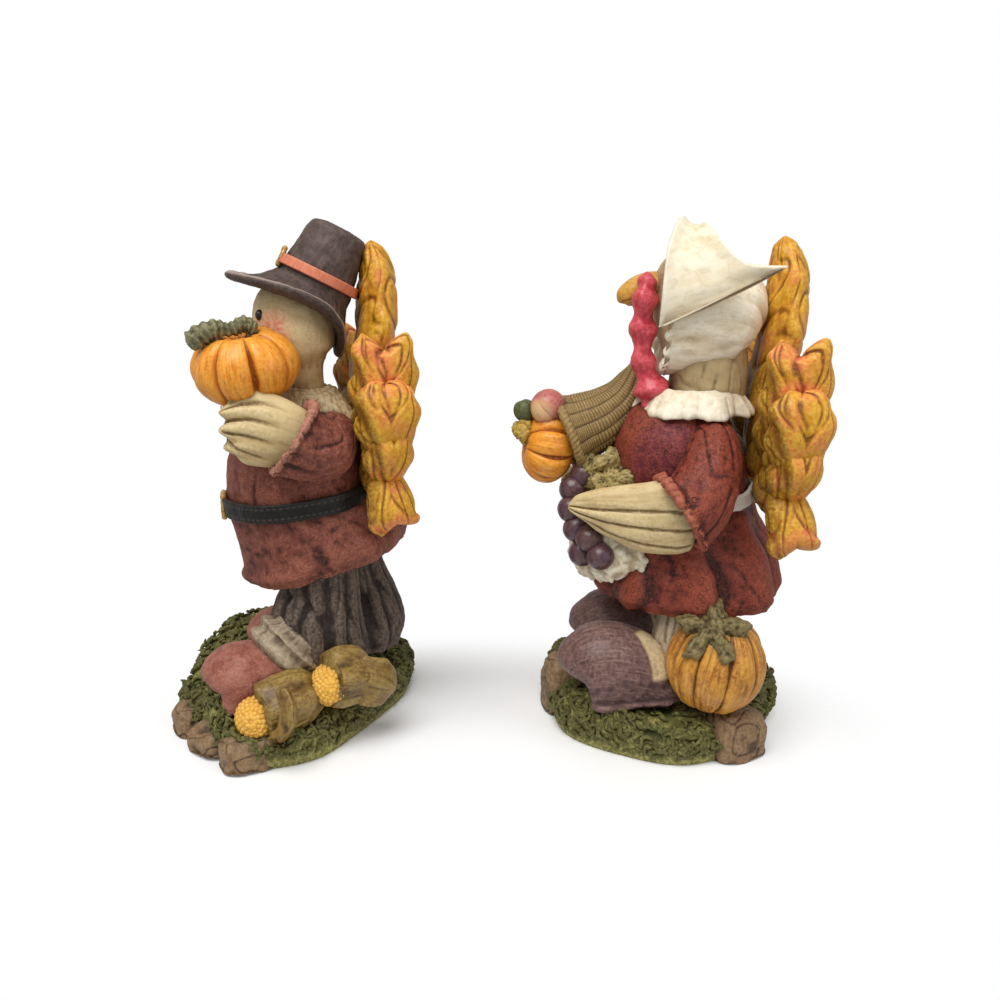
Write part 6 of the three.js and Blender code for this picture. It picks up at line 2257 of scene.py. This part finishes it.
@dataclass
class Gentleman(Turkey):
    """The gentleman, in a tall hat and a belted coat, with a pumpkin in his wings and corn at his feet."""

    name: str = "man"
    shift: float = -SPACING / 2
    turn: float = TURN * 15 / 360
    body: Body = COAT_BODY
    head: Head = MAN_HEAD
    beak: Beak = Beak(12, 3.7, 3.9, (-1, 0, 1.28))
    wattle: Wattle = MAN_WATTLE
    eye: Shares = (-1.02, -0.52, 1.8)
    collar: Collar = Collar(5.8, 13.4, 2, 8, 1.8, 4, 0.36, (0.35, 0, 0.975))
    sleeve: Sleeve = MAN_SLEEVE
    wing: Wing = MAN_WING
    tail: Tail = Tail((0.98, 0, 0.71), 61.4)
    ground: Ground = MAN_GROUND
    stones: tuple[tuple[str, Stone], ...] = MAN_STONES
    moss_seed: int = 5
    hat: Hat = Hat()
    belt: Band = Band(1.4, 0.42, 0.52, 0.04)
    buckle: Buckle = Buckle(8.2, 1.9, 1.8)

    def build(self) -> list[bpy.types.Object]:
        """Adds every element and makes the objects."""
        self.add_coat()
        self.add_collar_and_tail(TAN_LINEN)
        self.add_face("plumage", PLUMAGE, (-0.74, -0.76, 1.5))
        self.add_hat()
        self.add_arms("coat", COAT)
        self.add_goods()
        self.add_legs()
        self.add_ground()
        return self.figure.build()

    def add_coat(self) -> None:
        """The coat, with its belt and buckle."""
        body, belt = self.body, self.belt
        self.add("coat", "coat", COAT, body.skin(((0.9, 0.5), (1.8, 0.6))))
        self.add("belt", "belt", BELT, belt.skin(body))
        t = body.along((belt.low + belt.high) / 2 - belt.tilt)
        middle = spline(body.places(body.path), t)
        wide = float(spline(np.array(body.wides)[:, None], t, even=True)[0])
        front = np.array([middle[0] - wide * body.width - belt.thick, 0, middle[2]])
        self.add("belt_buckle", "gilt", GILT, self.buckle.skin(front, 0))

    def add_hat(self) -> None:
        """The hat, with its ribbon and buckle."""
        hat = self.hat
        origin = self.head.on(self.body, *hat.seat)
        self.add("hat", "felt", FELT, hat.crown_skin(origin), hat.brim_skin(origin))
        self.add("hat_band", "ribbon", RIBBON, hat.band_skin(origin))
        self.add("hat_buckle", "gilt", GILT, hat.buckle_skin(origin))

    def add_goods(self) -> None:
        """The pumpkin and its vine, and the ears of corn."""
        middle = self.body.on(*MAN_PUMPKIN.place)
        top = middle + unit(np.array(MAN_PUMPKIN.lean)) * MAN_PUMPKIN.height
        self.add("pumpkin", "pumpkin", PUMPKIN, MAN_PUMPKIN.skin(middle))
        self.add("pumpkin_vine", "vine", VINE, PUMPKIN_VINE.skin(top))
        for word, corn in (("front", FRONT_CORN), ("near", NEAR_CORN)):
            self.stand(f"corn_{word}", "corn", CORN, corn.cob_skin(self.body, self.ground))
            self.stand(f"husk_{word}", "husk", HUSK, *corn.husk_skins(self.body, self.ground))

    def add_legs(self) -> None:
        """Breeches, gaiters and shoes."""
        where = (self.body, self.ground)
        self.stand("breeches", "breeches", BREECHES, *(BREECHES_LEGS.skin(*where, side) for side in Side))
        for side in Side:
            self.stand(f"gaiter_{side.word}", "gaiter", GAITER, GAITER_LEGS.skin(*where, side))
            self.stand(f"shoe_{side.word}", "shoe", SHOE, MAN_SHOE.skin(*where, side))


@dataclass
class Lady(Turkey):
    """The lady, in a bonnet and a pleated dress, with a horn of plenty and a pumpkin beside her."""

    name: str = "woman"
    shift: float = SPACING / 2
    turn: float = 0.0
    body: Body = DRESS_BODY
    head: Head = WOMAN_HEAD
    beak: Beak = Beak(14.3, 4.4, 4.5, (-0.85, 0, 2.35))
    wattle: Wattle = WOMAN_WATTLE
    eye: Shares = (-0.92, -0.62, 2.62)
    collar: Collar = Collar(11, 16.6, 3, 3.8, 2, 7, 0.07, (0.19, 0, 0.985), torn=0.1)
    sleeve: Sleeve = WOMAN_SLEEVE
    wing: Wing = WOMAN_WING
    tail: Tail = Tail((0.94, 0, 0.73), 65.4)
    ground: Ground = WOMAN_GROUND
    stones: tuple[tuple[str, Stone], ...] = WOMAN_STONES
    moss_seed: int = 9
    bonnet: Bonnet = Bonnet()
    sash: Band = Band(1.3, 0.535, 0.6, 0.03)
    horn: Horn = Horn()
    lace: Lace = Lace()

    def build(self) -> list[bpy.types.Object]:
        """Adds every element and makes the objects."""
        self.add_dress()
        self.add_collar_and_tail(LINEN)
        self.add_face("face", NECK, (-1.0, -0.4, 2.5))
        self.add("cap", "linen", LINEN, self.bonnet.cap_skin(self.body, self.head))
        self.add("bonnet_brim", "linen", LINEN, self.bonnet.brim_skin(self.body, self.head))
        self.add_arms("dress", DRESS_SLEEVE)
        self.add_goods()
        self.add_legs()
        self.add_side_pumpkin()
        self.add_ground()
        return self.figure.build()

    def breast(self, points: Array) -> Array:
        """The patch of darker red that is brushed on each side of the breast."""
        x, y, z = np.moveaxis(points, -1, 0)
        away = np.sqrt(((x + 3) / 12) ** 2 + ((z - 84) / 13) ** 2)
        return ease(1.1, 0.75, away) * ease(6, 12, np.abs(y))

    def add_dress(self) -> None:
        """The dress and its sash."""
        folds = ((0.5, 2.0), (1.45, 2.4), (2.3, 1.4))
        self.add("dress", "dress", DRESS, self.body.skin(folds, self.breast))
        self.add("sash", "sash", SASH, self.sash.skin(self.body))

    def add_goods(self) -> None:
        """The horn with its fruit, the grapes, the leaf and the lace cloth."""
        body, on = self.body, self.body.on
        self.add("horn", "horn", HORN, self.horn.skin(body), self.horn.rim_skin(body))
        self.add("horn_pumpkin", "pumpkin", PUMPKIN, HORN_PUMPKIN.skin(on(*HORN_PUMPKIN.place)))
        # The apple's cream side towards (-0.5, -0.8, -0.2) is a painted highlight.
        self.add("apple", "apple", APPLE, HORN_APPLE.skin(on(*HORN_APPLE.place), (-0.5, -0.8, -0.2)))
        self.add("gourd", "gourd", GOURD, HORN_GOURD.skin(on(*HORN_GOURD.place)))
        self.add("raisins", "raisin", RAISIN, *RAISINS.skins(body))
        self.add("grapes", "grape", GRAPE, *GRAPES.skins(body))
        self.add("grape_leaf", "leaf", CURLY_LEAF, *(leaf.skin(on(*leaf.place)) for leaf in GRAPE_LEAVES))
        self.add("lace_cloth", "linen", LINEN, self.lace.skin(body))

    def add_legs(self) -> None:
        """Stockings and shoes."""
        where = (self.body, self.ground)
        for side in Side:
            self.stand(f"stocking_{side.word}", "stocking", STOCKING, STOCKING_LEGS.skin(*where, side))
            self.stand(f"shoe_{side.word}", "clog", CLOG, WOMAN_SHOE.skin(*where, side))

    def add_side_pumpkin(self) -> None:
        """The pumpkin beside her, and its leaf."""
        middle = self.body.under(self.ground, *SIDE_PUMPKIN.place)
        self.stand("side_pumpkin", "pumpkin", OCHRE_PUMPKIN, SIDE_PUMPKIN.skin(middle))
        size = np.array([SIDE_PUMPKIN.radius, SIDE_PUMPKIN.radius, SIDE_PUMPKIN.height])
        self.add("side_leaf", "leaf", LEAF, SIDE_LEAF.skin(middle + size * np.array(SIDE_LEAF.place)))


@dataclass
class Studio:
    """A white floor under soft light, and the camera at the photograph's angle."""

    reach: float = 1.2
    camera_place: tuple = (0.00585, -0.28242, 0.142)
    camera_pitch: float = math.radians(90 - 14.58)
    lens: float = 34.65

    def build(self) -> None:
        """Makes the floor, the lights and the camera."""
        self.add_floor()
        self.add_world()
        self.add_light("key", (-0.22, -0.46, 1.0), 0.7, 9.6)
        self.add_light("fill", (0.65, -0.45, 0.4), 0.6, 1.2)
        self.add_camera()
        log.info("studio: floor, lights and camera")

    def add_floor(self) -> None:
        """A white disc that fades out towards its edge."""
        bpy.ops.mesh.primitive_circle_add(vertices=96, radius=self.reach, fill_type="NGON")
        floor = bpy.context.object
        floor.name = "floor"
        graph = Graph(bpy.data.materials.new("floor_white"))
        place = graph.node("TexCoord").outputs["Object"]
        flat = graph.scaled(place, (1, 1.7, 1))
        middle = {0: flat, 1: (0, -0.034, 0)}
        away = graph.node("VectorMath", middle, operation="DISTANCE").outputs["Value"]
        tone = graph.noise(place, 0.05)
        white = graph.mix(graph.step(tone, 0.3, 0.7), linear((250, 250, 250)), linear((252, 252, 252)))
        paper = graph.node("BsdfDiffuse", {"Color": white})
        clear = graph.node("BsdfTransparent")
        fade = graph.step(away, 0.065, 0.14)
        blend = graph.node("MixShader", {0: fade, 1: paper.outputs[0], 2: clear.outputs[0]})
        graph.node("OutputMaterial", {"Surface": blend.outputs[0]})
        floor.data.materials.append(graph.holder)

    def add_world(self) -> None:
        """Soft light from all round, seen as plain white by the camera."""
        graph = Graph(bpy.data.worlds.new("studio_light"))
        seen = graph.node("LightPath").outputs["Is Camera Ray"]
        level = graph.node("MapRange", {"Value": seen, "To Min": 0.48, "To Max": 1.0}).outputs["Result"]
        back = graph.node("Background", {"Color": (1, 1, 1, 1), "Strength": level}).outputs[0]
        graph.node("OutputWorld", {"Surface": back})
        bpy.context.scene.world = graph.holder

    def add_light(self, name: str, place: tuple, size: float, watts: float) -> None:
        """A square soft light aimed at the figures.

        Args:
            name: The name to give it.
            place: Where it stands.
            size: The side of the square in metres.
            watts: Its power.
        """
        lamp = bpy.data.lights.new(name, "AREA")
        lamp.size = size
        lamp.energy = watts
        holder = bpy.data.objects.new(name, lamp)
        holder.location = place
        aim = Vector((0, 0, 0.07)) - Vector(place)
        holder.rotation_euler = aim.to_track_quat("-Z", "Y").to_euler()
        bpy.context.scene.collection.objects.link(holder)

    def add_camera(self) -> None:
        """The camera, where the photograph was taken from."""
        lens = bpy.data.cameras.new("camera")
        lens.lens = self.lens
        lens.sensor_width = 36
        lens.clip_start = 0.01
        camera = bpy.data.objects.new("camera", lens)
        camera.location = self.camera_place
        camera.rotation_euler = Euler((self.camera_pitch, 0, 0))
        bpy.context.scene.collection.objects.link(camera)
        bpy.context.scene.camera = camera
        bpy.context.scene.view_settings.view_transform = "Standard"


def main() -> None:
    """Builds the pair and the studio."""
    logging.basicConfig(level=logging.INFO, format="%(name)s: %(message)s")
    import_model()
    Gentleman().build()
    Lady().build()
    Studio().build()


if __name__ == "__main__":
    main()
